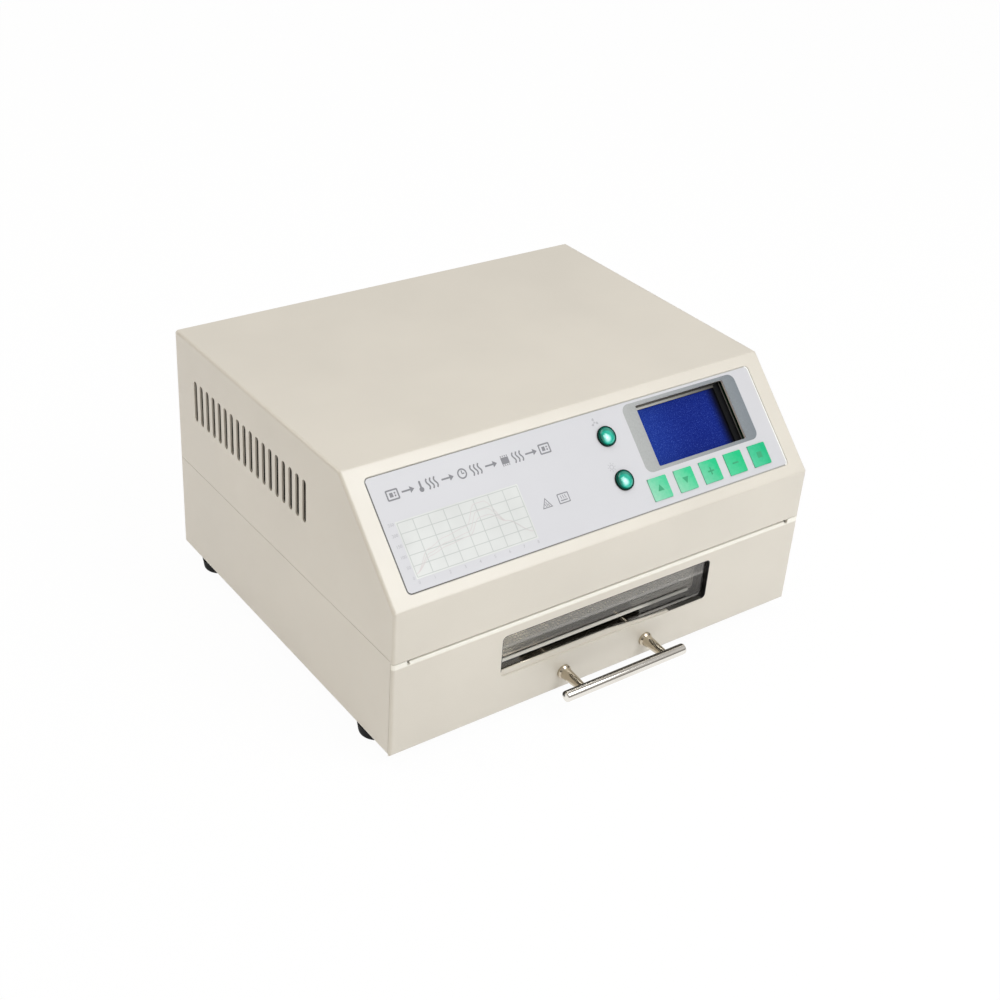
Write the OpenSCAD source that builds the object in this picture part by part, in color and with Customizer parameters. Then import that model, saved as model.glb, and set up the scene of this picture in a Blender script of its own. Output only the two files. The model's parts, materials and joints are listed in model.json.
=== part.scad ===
// Benchtop infrared reflow oven: sheet-steel case, sloping control panel and a front drawer.
// Millimetres. The origin is the middle of the footprint, +Z is up and the front faces -Y.
// Inside the modules y runs back from the front face and z up from the underside of the case.

/* [Case] */
// Width of the case
case_w = 310; // [300:1:340]
// Depth of the case from its front face to its rear panel
case_d = 259.2; // [256:0.1:300]
// Height of the case above its underside
case_h = 157.8; // [154:0.1:170]
// Thickness of the sheet steel of the case
sheet = 1.2; // [1:0.1:1.5]
// Outer radius of the bends in the sheet steel
bend_r = 2; // [1.8:0.1:3]
// Height of the seam between the lower case and the cover
seam_z = 66.8; // [64:0.1:70]
// How far the cover's front lip reaches below that seam
lip_drop = 1.3; // [0.6:0.1:1.6]
// Height that the slope rises from the front lip to the top
slope_rise = 58.66; // [56:0.02:66]
// Depth that the slope takes
slope_run = 59.34; // [54:0.02:64]
// Width of the flanges that the casings turn inwards
flange_w = 10; // [9:0.5:12]
// Height of the lower case's inner lip above the seam
joggle_h = 8; // [5:0.5:12]

/* [Side vents] */
// Number of slots in each side
vent_count = 18; // [6:1:18]
// Spacing of the slots
vent_pitch = 8.05; // [7:0.01:8.6]
// Width of a slot
vent_w = 4; // [2:0.1:4.5]
// Height of a slot
vent_h = 28.2; // [16:0.1:34]
// Distance from the rearmost slot to the back of the case
vent_rear = 25.3; // [22:0.1:34]
// Distance from the top of the case down to the middle of the slots
vent_drop = 38.8; // [34:0.1:44]

/* [Feet] */
// Height of a rubber foot
foot_h = 8; // [8:0.5:15]
// Radius of a foot at the case
foot_r = 11.5; // [11:0.5:12]
// Radius of a foot at the ground
foot_base_r = 10.3; // [8.6:0.1:10.5]
// Distance from the side of the case to the middle of a foot
foot_inset_x = 11.5; // [11:0.5:24]
// Depth of the recess for a foot's screw
foot_recess = 5; // [4:0.5:5.5]
// Distance from the front of the case to the front feet
foot_front = 33; // [26:0.5:40]
// Distance from the back of the case to the rear feet
foot_rear = 27; // [20:0.5:40]

/* [Control panel] */
// Margin of the panel recess to the sides of the case
panel_margin_x = 12; // [10:0.5:16]
// Margin of the panel recess to the ends of the slope
panel_margin_v = 7.3; // [7:0.1:9]
// Corner radius of the panel recess
panel_r = 3; // [2:0.1:5]
// Depth of the panel recess
panel_depth = 0.8; // [0.6:0.05:1.2]
// Thickness of the printed overlay
overlay_t = 0.6; // [0.4:0.05:0.7]

/* [Display] */
// Distance from the right edge of the recess to the middle of the keys and their board
display_inset = 60.5; // [56:0.5:64]
// How far the middle of the display cut-out lies to the right of the keys' middle
cutout_shift = 1.1; // [0:0.05:1.5]
// How far the screen's middle lies to the left of the keys' middle
screen_shift = 1.2; // [0:0.1:2]
// How far the screen's middle lies below the middle of the cut-out
screen_lower = 0.9; // [0:0.1:1.2]
// Height of the middle of the display above the middle of the panel, up the slope
display_v = 10.1; // [9:0.1:12]
// Width of the display cut-out
display_w = 71.5; // [64:0.5:72]
// Height of the display cut-out
display_h = 39.9; // [36:0.1:41]
// Corner radius of the display cut-out
display_r = 1; // [0.5:0.1:2]
// Width of the screen inside its frame
screen_w = 66; // [60:0.5:68]
// Height of the screen inside its frame
screen_h = 37; // [32:0.5:38]
// Width of the metal frame of the display
bezel_w = 78; // [76:0.5:80]
// Height of the metal frame of the display
bezel_h = 50; // [46:0.5:51]
// Depth of the metal frame's face below the panel surface
bezel_drop = 5.2; // [4:0.1:6]
// Depth of the screen below the face of its frame
screen_drop = 0.8; // [0.4:0.1:1.2]

/* [Buttons and keys] */
// Distance from the display's middle to the round buttons
button_offset = 63.4; // [62:0.1:68]
// Height of the pair of buttons above the middle of the panel
button_v = 3; // [0:0.1:6]
// Spacing of the two buttons
button_pitch = 28.2; // [24:0.1:30]
// Diameter of a button's ring
ring_d = 12.8; // [12.6:0.1:15]
// Height of a button's ring above the overlay
ring_h = 1.2; // [0.8:0.1:2]
// Diameter of the barrel behind the ring
barrel_d = 11.6; // [11.4:0.1:12.2]
// Diameter of the green cap in the ring
cap_d = 10.2; // [9:0.1:10.2]
// Height of the cap above the overlay
cap_h = 3; // [2.5:0.1:4]
// How far a button is pushed in
button_travel = 2; // [1:0.1:2.2]
// Depth of a button's switch behind the overlay
switch_depth = 17; // [15:0.5:18]
// Depth of a button's barrel below the panel surface
barrel_end = 12; // [10:0.5:13]
// Size of a square key
key_size = 14.2; // [12:0.1:15]
// Spacing of the keys
key_pitch = 20.45; // [18:0.05:21]
// Number of keys
key_count = 5; // [5]
// Height of the keys below the middle of the panel
key_drop = 22.5; // [21.5:0.1:23]
// Height of a key above the overlay
key_h = 0.6; // [0.5:0.05:1.2]
// How far a key is pushed in
key_travel = 0.5; // [0.2:0.05:0.5]

/* [Control board] */
// Distance from the display's middle to the board's screws
board_half_w = 52; // [51:0.5:54]
// Distance from the panel's middle up to the board's upper screws
board_top = 38; // [37:0.5:39]
// Distance from the panel's middle down to the board's lower screws
board_bottom = 32; // [31.5:0.5:33]
// Depth of the board's face below the panel surface
board_depth = 14; // [13:0.5:14.5]
// Thickness of circuit boards
board_t = 1.6; // [1.2:0.1:2]
// Height of a key switch on the board
key_switch_h = 4.2; // [3.5:0.1:4.5]
// Edge of the board beyond its screws
board_edge = 3.5; // [3:0.5:4]

/* [Drawer front] */
// Thickness of the drawer front
front_t = 2; // [1.5:0.1:2.4]
// Gap between the folded top of the drawer front and the cover's lip
front_gap = 2; // [0.8:0.1:2.4]
// Depth of the folded top and bottom edges
front_fold = 10; // [8:0.5:12]
// Height of the drawer front's lower edge above the underside of the case
front_bottom = 0.3; // [0.2:0.1:1]
// Gap between the corners of the drawer front and the cover's lip
corner_gap = 0.4; // [0.3:0.05:0.6]
// Distance from the sides to the bend-relief notches
notch_inset = 10.5; // [9:0.5:14]
// Width of a notch
notch_w = 2; // [1.5:0.1:3]
// Depth of a notch below the folded edge
notch_h = 1.4; // [1:0.1:2]
// Width of the window
window_w = 160; // [120:1:170]
// Height of the window
window_h = 29.1; // [20:0.1:30]
// Distance from the top of the drawer front to the window
window_drop = 7.3; // [7:0.1:10]
// Corner radius of the window
window_r = 3; // [2:0.5:6]
// Thickness of the window glass
glass_t = 2.5; // [2:0.1:4]
// How far the glass reaches behind the drawer front
glass_lap = 3; // [2.5:0.1:5]
// Thickness of the frame that holds the glass
frame_t = 1.3; // [1:0.1:2]
// Gap between the two panes
pane_gap = 4.2; // [3:0.1:6]
// Depth of the collar that the window opening is edged with
collar_d = 1.5; // [1:0.1:3]
// Width of the frame's rim beside the glass
frame_rim = 7; // [6.5:0.5:8]
// Width of the frame's rim above and below the glass
frame_edge = 1.8; // [1.2:0.1:1.8]

/* [Handle] */
// Height of the handle above the underside of the case
handle_z = 13; // [10:0.5:14]
// Spacing of the handle's posts
post_pitch = 64; // [50:1:80]
// Distance from the drawer front to the middle of the bar
bar_out = 20.5; // [18:0.5:26]
// Diameter of the bar
bar_d = 7; // [6:0.1:9]
// Length of the bar
bar_l = 93; // [90:1:110]
// Diameter of a post's foot
post_foot_d = 9.4; // [8:0.1:11]
// Diameter of a post next to its foot
post_d = 7.6; // [6:0.1:8]
// Diameter of a post at the bar
post_tip_d = 5.4; // [5:0.1:6]
// Depth of the screw's hole in a post
post_bore = 10; // [6:0.5:12]

/* [Slides] */
// Height of a slide
slide_h = 27; // [24:0.5:28]
// Space that a slide takes between the case and the drawer
slide_t = 12.7; // [12:0.1:13.5]
// Space between the slides and the rear panel
slide_rear = 23.3; // [20:0.1:30]
// Height of the middle of the slides
slide_z = 29; // [28:0.5:31]
// Distance from the front of the case to the slides
slide_front = 6; // [5:0.5:8]
// Thickness of the slides' steel
member_t = 1.2; // [1:0.1:1.4]
// Gap between two members of a slide
race_gap = 0.3; // [0.3:0.05:0.5]
// How far the drawer opens
drawer_travel = 200; // [120:1:210]

/* [Drawer pan and tray] */
// Thickness of the drawer pan
pan_t = 1; // [0.8:0.1:1.2]
// Height of the underside of the pan
pan_z = 5; // [4:0.5:6]
// Height of the pan's walls
pan_h = 45; // [44:0.5:46]
// Height of the pan's front wall
pan_front_h = 12; // [10:0.5:13]
// Thickness of the insulation on the pan's floor
pad_t = 6; // [4:0.5:8]
// Distance from the front of the case to the heated area
heat_front = 36; // [36:0.5:38]
// Gap between the board tray and the pan's walls
tray_gap = 1.5; // [1:0.1:3]
// Distance from the front of the case to the board tray
tray_front = 15; // [15:0.5:20]
// Height of the underside of the board tray
tray_z = 25; // [22:0.1:29]
// Thickness of the board tray
tray_t = 1.5; // [1:0.1:2]
// Width of the tray's solid rim
tray_rim = 6; // [5:0.5:9]
// Spacing of the openings in the tray
mesh_pitch = 15; // [12:0.5:20]
// Width of the bars between those openings
mesh_bar = 2; // [1.5:0.1:3]
// Space behind the heated area, up to the pan's rear wall
pan_rear_gap = 6; // [4:0.5:8]

/* [Heating chamber] */
// Space between the heated area and the chamber's side walls
chamber_margin_x = 8.5; // [7:0.5:10]
// Space between the heated area and the chamber's front and rear walls
chamber_margin_y = 10; // [8:0.5:10]
// Gap between the drawer pan and the chamber
chamber_gap = 5; // [4:0.5:6]
// Gap between the chamber and the case's side walls
chamber_side = 27.8; // [26:0.1:34]
// Gap between the chamber and the rear panel
chamber_back = 38.3; // [36:0.1:44]
// Room over the chamber for the electronics
head_room = 60.8; // [60:0.1:64]
// Width of the rails that carry the chamber
rail_w = 11; // [10:0.5:12]
// Height of those rails
rail_h = 10; // [8:0.5:12]
// Thickness of the chamber's sheet
chamber_t = 0.8; // [0.6:0.1:1]
// Thickness of the insulation on the chamber
blanket_t = 6; // [4:0.5:6.5]
// Thickness of the reflector
reflector_t = 0.6; // [0.5:0.1:0.8]
// Depth of the reflector's troughs
trough_h = 8; // [6:0.5:9]

/* [Heaters] */
// Number of heater tubes
tube_count = 4; // [4]
// Outer diameter of a heater tube
tube_d = 10.5; // [9:0.5:12]
// Wall of a heater tube
tube_wall = 1; // [0.8:0.1:1.5]
// Length of an end cap outside the chamber
cap_l = 12; // [10:0.5:13]
// Diameter of an end cap
end_cap_d = 18; // [16:0.5:20]
// How far an end cap holds the tube
cap_grip = 8; // [6:0.5:9]
// How far an end cap's neck reaches through the chamber's wall
cap_neck = 3; // [2.5:0.1:4]
// Diameter of the terminal pin on an end cap
cap_pin_d = 5; // [4:0.1:6]
// Length of that pin
cap_pin_l = 5; // [4:0.1:6]
// Distance from the chamber's ends to the brackets
bracket_inset = 8; // [6:0.5:10]
// Width of a bracket's foot
bracket_foot = 8; // [6:0.5:10]
// How far a bracket rises above the tubes' axes
bracket_rise = 12; // [10:0.5:14]
// Diameter of a thermocouple's sheath
probe_d = 3; // [2:0.1:4]
// Length of a thermocouple inside the chamber
probe_l = 95; // [60:1:120]
// Distance of each thermocouple from the middle
probe_x = 55; // [40:1:70]
// Length of a probe outside the chamber
probe_tail = 6; // [5:0.5:8]
// Width over the corners of a probe's nut
probe_nut_d = 8; // [7:0.5:9]
// Thickness of that nut
probe_nut_h = 4; // [3:0.5:5]
// Length of the lamp's holder
holder_l = 14; // [12:0.5:16]
// Width of the holder
holder_w = 10; // [9:0.5:11]
// Length of the lamp
lamp_l = 16; // [14:0.5:18]
// Diameter of the lamp
lamp_d = 8; // [7:0.5:8.5]
// Distance from the chamber's left wall to the lamp's holder
lamp_inset = 20; // [16:0.5:30]

/* [Electronics] */
// Gap between the chamber and the electronics shelf
shelf_gap = 15; // [14:0.5:17]
// Radius of the shelf's legs
leg_r = 4; // [3:0.5:5]
// Height of the power board above the shelf
board_post_h = 6; // [5:0.5:8]
// Gap between the electronics shelf and the case's side walls
shelf_side = 18.8; // [14:0.1:24]
// Distance from the front of the case to the shelf
shelf_front = 58; // [56:0.5:62]
// How far the shelf stops short of the chamber's rear
shelf_back = 2; // [0:0.5:6]
// Height of the shelf's turned-up edges
shelf_edge = 8; // [6:0.5:10]
// Inset of the shelf's legs from its sides
leg_inset = 26; // [20:0.5:32]
// Distance from the shelf's side to the middle of the transformer
transformer_inset = 47; // [40:0.5:50]
// Width of the transformer
transformer_w = 57; // [50:1:62]
// Depth of the transformer
transformer_d = 46; // [40:1:52]
// Height of the transformer
transformer_h = 38; // [34:1:40]
// Distance from the shelf's side to the middle of the power board
power_board_inset = 97; // [90:0.5:104]
// Width of the power board
power_board_w = 110; // [90:1:120]
// Depth of the power board
power_board_d = 90; // [80:1:96]
// Height of the heat sink
heatsink_h = 24; // [16:1:26]
// Width of the heat sink
heatsink_w = 40; // [36:0.5:42]
// Depth of the heat sink
heatsink_d = 44; // [38:0.5:46]
// Height of the board's capacitors
capacitor_h = 22; // [18:0.5:24]
// Height of the board's relays
relay_h = 15; // [12:0.5:18]
// Distance from the shelf's side to the middle of the terminal block
terminal_inset = 43; // [40:0.5:50]
// Width of the terminal block
terminal_w = 48; // [44:0.5:56]
// Depth and height of the terminal block
terminal_h = 16; // [14:0.5:20]
// Number of fins on the heat sink
fin_count = 9; // [5:1:11]

/* [Fan] */
// Size of the square fan
fan_size = 80; // [80]
// Thickness of the fan
fan_t = 25; // [20:1:26]
// Diameter of the fan's duct
fan_bore = 76; // [74:0.5:76]
// Spacing of the fan's screws
fan_pitch = 71.5; // [71.5]
// Distance of the fan from the case's left side, seen from the front
fan_inset = 93; // [60:1:105]
// Distance from the top of the case down to the fan's middle
fan_drop = 53.8; // [52:0.1:56]
// Diameter of the fan's hub
hub_d = 34; // [28:1:38]
// Radius of the fan's screws
fan_screw_r = 2; // [1.8:0.1:2.2]
// Number of blades
blade_count = 7; // [5:1:9]
// Wire of the fan guard
guard_wire = 1.6; // [1.2:0.1:2]
// Number of rings in the fan guard
guard_rings = 4; // [3:1:5]

/* [Inlet and switch] */
// Distance of the mains inlet from the case's right side
inlet_inset = 57; // [50:1:64]
// Height of the mains inlet's middle
inlet_z = 30; // [26:0.5:32]
// Width of the inlet's flange
inlet_w = 50; // [48:0.5:52]
// Height of the inlet's flange
inlet_h = 24; // [22:0.5:26]
// Height of the inlet's collar above the rear panel
inlet_reach = 5; // [4.8:0.1:6]
// Thickness of the inlet's flange
inlet_flange_t = 3; // [2.4:0.1:3.2]
// Distance of the inlet's screws from its middle
inlet_screw_x = 20; // [19.5:0.5:21]
// Width of the inlet's body
inlet_body_w = 27; // [26.5:0.1:28]
// Height of the inlet's body
inlet_body_h = 19.5; // [19:0.1:20]
// Depth of the inlet's body behind the rear panel
inlet_body_d = 21; // [18:0.5:24]
// Depth of the socket
socket_depth = 16.5; // [15:0.5:17]
// Height of the mains switch's middle
switch_z = 64; // [60:0.5:80]
// Width of the mains switch's rim
switch_w = 15.2; // [14:0.1:18]
// Height of the mains switch's rim
switch_h = 21.4; // [21:0.1:24]
// Width of the rim round the switch's body
switch_rim = 1; // [0.8:0.1:1.2]
// Height of the switch's rim above the rear panel
switch_face = 1.8; // [1.5:0.1:2.2]
// Depth of the hollow under the rocker
rocker_deep = 7; // [6:0.5:8]
// Angle through which the rocker tips
rocker_throw = 17; // [12:0.5:18]

/* [Clearances] */
// Gap along a seam of the case
seam_gap = 0.3; // [0.2:0.05:0.5]
// Gap round a piece that moves in a guide or hole
fit_gap = 0.25; // [0.2:0.05:0.3]
// Gap round a piece that is fixed in a hole
hole_gap = 0.3; // [0.2:0.05:0.4]

/* [Hidden] */
$fn = 48;
arc_steps = 6;

paint = "#dcd7cc";
overlay_white = "#dfe0e4";
steel = "#b9bbbd";
dark = "#26272a";
green = "#1fcf88";

half_w = case_w / 2;
inner_half = half_w - sheet;
lip_top = case_h - slope_rise;
lip_bottom = seam_z - lip_drop;
front_top = lip_bottom - front_gap;
handle_reach = bar_out + bar_d / 2;
front_y = (handle_reach - case_d - inlet_reach) / 2;
slope_angle = atan2(slope_rise, slope_run);
slope_len = norm([slope_run, slope_rise]);
panel_w = case_w - 2 * panel_margin_x;
panel_h = slope_len - 2 * panel_margin_v;
panel_mid = slope_len / 2;
overlay_top = overlay_t - panel_depth;
panel_back = -panel_depth - sheet;
rear_in = case_d - sheet;

display_x = panel_w / 2 - display_inset;
button_x = display_x - button_offset;
wall_front = front_t + seam_gap;
drawer_half = inner_half - slide_t;
chamber_half = inner_half - chamber_side;
chamber_front = heat_front - chamber_margin_y;
chamber_rear = rear_in - chamber_back;
heat_w = 2 * (chamber_half - chamber_margin_x);
pan_rear = chamber_rear - chamber_margin_y + pan_rear_gap;
pan_top = pan_z + pan_h;
tray_w = 2 * (drawer_half - pan_t - tray_gap);
tray_d = pan_rear - pan_t - tray_gap - tray_front;
slide_l = rear_in - slide_rear - slide_front;
chamber_z = pan_top + chamber_gap;
chamber_top = case_h - head_room;
chamber_h = chamber_top - chamber_z;
tube_z = chamber_h / 2;
shelf_z = chamber_top + shelf_gap;
shelf_w = 2 * (inner_half - shelf_side);
shelf_d = chamber_rear - shelf_back - shelf_front;
shelf_mid = shelf_front + shelf_d / 2;
probe_z = chamber_z + 5;
neck_d = tube_d + 4;
lamp_x = lamp_inset - chamber_half;
lamp_z = chamber_z + (chamber_h - trough_h) / 2;
vent_z = case_h - vent_drop;
fan_x = half_w - fan_inset;
fan_z = case_h - fan_drop;
inlet_x = half_w - inlet_inset;
screen_x = display_x - screen_shift;
screen_v = display_v - screen_lower;
window_z = front_top - window_drop - window_h / 2;
pane_front = front_t + collar_d;
frame_depth = collar_d + 2 * glass_t + pane_gap + frame_t;
eyelet_t = guard_wire + 0.4;

foot_points = [for (x = [-1, 1], y = [foot_front, case_d - foot_rear]) [x * (half_w - foot_inset_x), y]];
rear_screw_points = concat(
    [for (x = [-1, 0, 1]) [x * (half_w - 35), case_h - sheet - flange_w / 2]],
    [for (x = [-1, 1], z = [seam_z - 30, seam_z + 35]) [x * (inner_half - flange_w / 2), z]],
    [for (x = [-1, 1]) [x * (half_w - 60), sheet + flange_w / 2]]);

// Points of an arc about c, from angle a to angle b
function arc(c, r, a, b, n = arc_steps) =
    [for (i = [0:n]) c + r * [cos(a + (b - a) * i / n), sin(a + (b - a) * i / n)]];

function unit(v) = v / norm(v);

// Arc that rounds corner q of the path p, q, s
function fillet(p, q, s, r) =
    let (u = unit(p - q), v = unit(s - q), half = acos(u * v) / 2,
        c = q + unit(u + v) * r / sin(half),
        from = q + u * r / tan(half) - c,
        to = q + v * r / tan(half) - c,
        a = atan2(from[1], from[0]),
        turn = (atan2(to[1], to[0]) - a + 540) % 360 - 180)
    arc(c, r, a, a + turn);

// Rectangle w by h about its middle, with corners of radius r
function round_rect(w, h, r) = concat(
    arc([w / 2 - r, h / 2 - r], r, 0, 90), arc([r - w / 2, h / 2 - r], r, 90, 180),
    arc([r - w / 2, r - h / 2], r, 180, 270), arc([w / 2 - r, r - h / 2], r, 270, 360));

// Upright slot w by h about its middle, with round ends
function slot(w, h) = concat(
    arc([0, (h - w) / 2], w / 2, 0, 180, 2 * arc_steps), arc([0, (w - h) / 2], w / 2, 180, 360, 2 * arc_steps));

// Channel section about z = 0: web face at xw, flange tips at xt, height h and thickness t
function channel(xw, xt, h, t) = let (s = sign(xt - xw) * t) [
    [xw, h / 2], [xt, h / 2], [xt, h / 2 - t], [xw + s, h / 2 - t],
    [xw + s, t - h / 2], [xt, t - h / 2], [xt, -h / 2], [xw, -h / 2]];

// Height of the slope at depth y, and its depth at height z, for its surface moved inwards by s
function slope_height(y, s) = lip_top - s * cos(slope_angle) + (y - s * sin(slope_angle)) * tan(slope_angle);
function slope_depth(z, s) = s * sin(slope_angle) + (z - lip_top + s * cos(slope_angle)) / tan(slope_angle);

module in_case() translate([0, front_y, foot_h]) children();

// Frame of the control panel: x across, y up the slope from the panel's middle, z out of it
module slope_frame()
    translate([0, 0, lip_top]) rotate([slope_angle, 0, 0]) translate([0, panel_mid, 0]) children();

module on_panel() in_case() slope_frame() children();

module both_sides() {
    children();
    mirror([1, 0, 0]) children();
}

// Extrudes an outline drawn in x and z backwards from depth y
module along_y(y, l) translate([0, y + l, 0]) rotate([90, 0, 0]) linear_extrude(l) children();

// Extrudes an outline drawn in y and z across the middle
module along_x(l) rotate([90, 0, 90]) linear_extrude(l, center = true) children();

// Screw that enters along -z with its head on z = 0
module screw(head_r, head_h, shank_r, shank_l) {
    rotate_extrude() polygon(concat([[0, -shank_l], [shank_r, -shank_l], [shank_r, 0], [head_r, 0]],
        arc([head_r - head_h * 0.7, head_h * 0.3], head_h * 0.7, 0, 90), [[0, head_h]]));
}

// Waste outside a bend along z, whose edge is the origin and whose metal lies towards -x and -y
module bend_waste(l)
    linear_extrude(l) polygon(concat([[1, 1], [1, -bend_r]], arc([-bend_r, -bend_r], bend_r, 0, 90), [[-bend_r, 1]]));

// Lower case: floor and two side walls folded from one sheet, open to the front
module bottom_case() color(paint) in_case() {
    wall_top = seam_z - seam_gap;
    lip_in = inner_half - seam_gap;
    difference() {
        union() {
            along_y(wall_front, case_d - wall_front) polygon(concat(
                [[-half_w, wall_top]], arc([bend_r - half_w, bend_r], bend_r, 180, 270),
                arc([half_w - bend_r, bend_r], bend_r, 270, 360), [[half_w, wall_top],
                [inner_half, wall_top], [inner_half, sheet], [-inner_half, sheet], [-inner_half, wall_top]]));
            both_sides() along_y(front_fold + sheet, rear_in - 2 * sheet - front_fold - sheet) polygon([
                [inner_half, seam_z - 6], [lip_in - sheet, seam_z - 6], [lip_in - sheet, seam_z + joggle_h],
                [lip_in, seam_z + joggle_h], [lip_in, seam_z - 2], [inner_half, seam_z - 2]]);
            along_y(rear_in - sheet, sheet) difference() {
                translate([-inner_half, sheet]) square([2 * inner_half, seam_z - sheet - 8]);
                translate([flange_w - inner_half, sheet + flange_w])
                    square([2 * (inner_half - flange_w), seam_z]);
            }
        }
        translate([-inner_half, 0, -1]) cube([2 * inner_half, front_fold + hole_gap, sheet + 2]);
        for (p = foot_points) translate([p[0], p[1], -1]) cylinder(r = 2 + hole_gap, h = sheet + 2);
        rear_screw_holes();
    }
}

module rear_screw_holes()
    for (p = rear_screw_points) translate([p[0], rear_in - 2 * sheet, p[1]]) rotate([-90, 0, 0])
        cylinder(r = 1.5 + hole_gap, h = 4 * sheet);

// Top cover: front lip, sloping panel, top and side walls folded from one sheet
module top_cover() color(paint) in_case() difference() {
    union() {
        cover_sheet();
        cover_flanges();
        slope_frame() translate([0, 0, panel_back]) linear_extrude(sheet)
            polygon(round_rect(panel_w + 2 * sheet, panel_h + 2 * sheet, panel_r + sheet));
    }
    slope_frame() translate([0, 0, -panel_depth]) linear_extrude(2 * panel_depth)
        polygon(round_rect(panel_w, panel_h, panel_r));
    panel_cutouts();
    for (i = [0:vent_count - 1]) translate([0, case_d - vent_rear - i * vent_pitch, vent_z])
        along_x(case_w + 2) polygon(slot(vent_w, vent_h));
    rear_screw_holes();
}

module cover_sheet() {
    lip = [0, lip_top];
    brow = [slope_run, case_h];
    roof = case_h - sheet;
    difference() {
        along_x(case_w) polygon(concat([[0, lip_bottom]], fillet([0, lip_bottom], lip, brow, bend_r),
            fillet(lip, brow, [case_d, case_h], bend_r), [[case_d, case_h], [case_d, seam_z],
            [wall_front, seam_z], [wall_front, lip_bottom]]));
        along_x(2 * inner_half) polygon([[sheet, 0], [sheet, slope_height(sheet, sheet)],
            [slope_depth(roof, sheet), roof], [case_d + 1, roof], [case_d + 1, 0]]);
        both_sides() {
            translate([half_w, 0, lip_bottom - 1]) mirror([0, 1, 0]) bend_waste(lip_top);
            slope_frame() translate([half_w, slope_len, 0]) rotate([90, 0, 0]) bend_waste(2 * slope_len);
            translate([half_w, case_d + 1, case_h]) rotate([90, 0, 0]) bend_waste(case_d - slope_run + 20);
        }
    }
}

module cover_flanges() {
    fold_half = half_w - notch_inset - notch_w / 2;
    translate([-fold_half, 0, lip_bottom]) cube([2 * fold_half, front_fold, sheet]);
    along_y(rear_in - sheet, sheet) difference() {
        translate([-inner_half, seam_z + joggle_h + 1])
            square([2 * inner_half, case_h - sheet - seam_z - joggle_h - 1]);
        translate([flange_w - inner_half, 0]) square([2 * (inner_half - flange_w), case_h - sheet - flange_w]);
    }
}

// Cut-outs for the display, the round buttons and the keys, through cover and overlay alike
module panel_cutouts() slope_frame() translate([0, 0, panel_back - 1]) linear_extrude(sheet + 3) {
    translate([display_x + cutout_shift, display_v]) polygon(round_rect(display_w, display_h, display_r));
    for (s = [-1, 1]) translate([button_x, button_v + s * button_pitch / 2]) circle(d = barrel_d + 2 * hole_gap);
    for (i = [0:key_count - 1]) translate([key_x(i), -key_drop]) square(key_size + 2 * fit_gap, center = true);
}

function key_x(i) = display_x + (i - (key_count - 1) / 2) * key_pitch;

// Printed overlay in the recess of the slope
module control_overlay() color(overlay_white) in_case() difference() {
    slope_frame() translate([0, 0, -panel_depth]) linear_extrude(overlay_t)
        polygon(round_rect(panel_w - 2 * seam_gap, panel_h - 2 * seam_gap, panel_r - seam_gap));
    panel_cutouts();
}

// Rear panel with the openings for fan, inlet and switch
module rear_panel() color(paint) in_case() difference() {
    along_y(rear_in, sheet) difference() {
        translate([seam_gap - inner_half, sheet + seam_gap])
            square([2 * (inner_half - seam_gap), case_h - 2 * (sheet + seam_gap)]);
        translate([-fan_x, fan_z]) {
            circle(d = fan_bore);
            fan_screw_places() circle(r = fan_screw_r + hole_gap);
        }
        translate([inlet_x, inlet_z]) {
            square([inlet_body_w + 2 * hole_gap, inlet_body_h + 2 * hole_gap], center = true);
            for (s = [-1, 1]) translate([s * inlet_screw_x, 0]) circle(r = 1.5 + hole_gap);
        }
        translate([inlet_x, switch_z])
            square([switch_w - 2 * switch_rim + 2 * hole_gap, switch_h - 2 * switch_rim + 2 * hole_gap], center = true);
    }
    rear_screw_holes();
}

// Screws of the rear panel, the fan guard, the inlet and the feet
module case_screws() color(steel) in_case() {
    for (p = rear_screw_points) translate([p[0], case_d, p[1]]) rotate([-90, 0, 0]) screw(2.8, 1.7, 1.5, 5);
    translate([-fan_x, case_d + eyelet_t, fan_z]) rotate([-90, 0, 0]) fan_screw_places()
        screw(3.6, 2.2, fan_screw_r, 12);
    translate([inlet_x, case_d + inlet_flange_t, inlet_z]) rotate([-90, 0, 0])
        for (s = [-1, 1]) translate([s * inlet_screw_x, 0, 0]) screw(2.6, 1.5, 1.5, 8);
    for (p = foot_points) translate([p[0], p[1], foot_recess - foot_h]) rotate([180, 0, 0])
        screw(3.5, 2.4, 2, foot_h - foot_recess + sheet + 3);
}

// Rubber feet with a recess for their screws
module rubber_feet() color(dark) in_case() for (p = foot_points) translate([p[0], p[1], -foot_h])
    rotate_extrude() polygon(concat([[2 + hole_gap, foot_h], [2 + hole_gap, foot_recess], [4.2, foot_recess],
        [4.2, 0]], fillet([4.2, 0], [foot_base_r, 0], [foot_r, foot_h], 2), [[foot_r, foot_h]]));

// Display frame with its screen opening
module lcd_frame() color(dark) on_panel() translate([screen_x, screen_v, 0]) difference() {
    translate([0, 0, -board_depth]) linear_extrude(board_depth - bezel_drop)
        polygon(round_rect(bezel_w, bezel_h, 1.5));
    translate([0, 0, -board_depth - 1]) linear_extrude(board_depth - bezel_drop - screen_drop + 1)
        square([bezel_w - 2, bezel_h - 2], center = true);
    translate([0, 0, -board_depth]) linear_extrude(board_depth) square([screen_w, screen_h], center = true);
}

// Display screen and its backlight
module lcd_screen() color("#1f2f8c") on_panel() translate([screen_x, screen_v, -board_depth])
    linear_extrude(board_depth - bezel_drop - screen_drop)
        square([bezel_w - 2 - 2 * fit_gap, bezel_h - 2 - 2 * fit_gap], center = true);

function board_screws() = [for (x = [-1, 1], y = [board_top, -board_bottom]) [display_x + x * board_half_w, y]];

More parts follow.
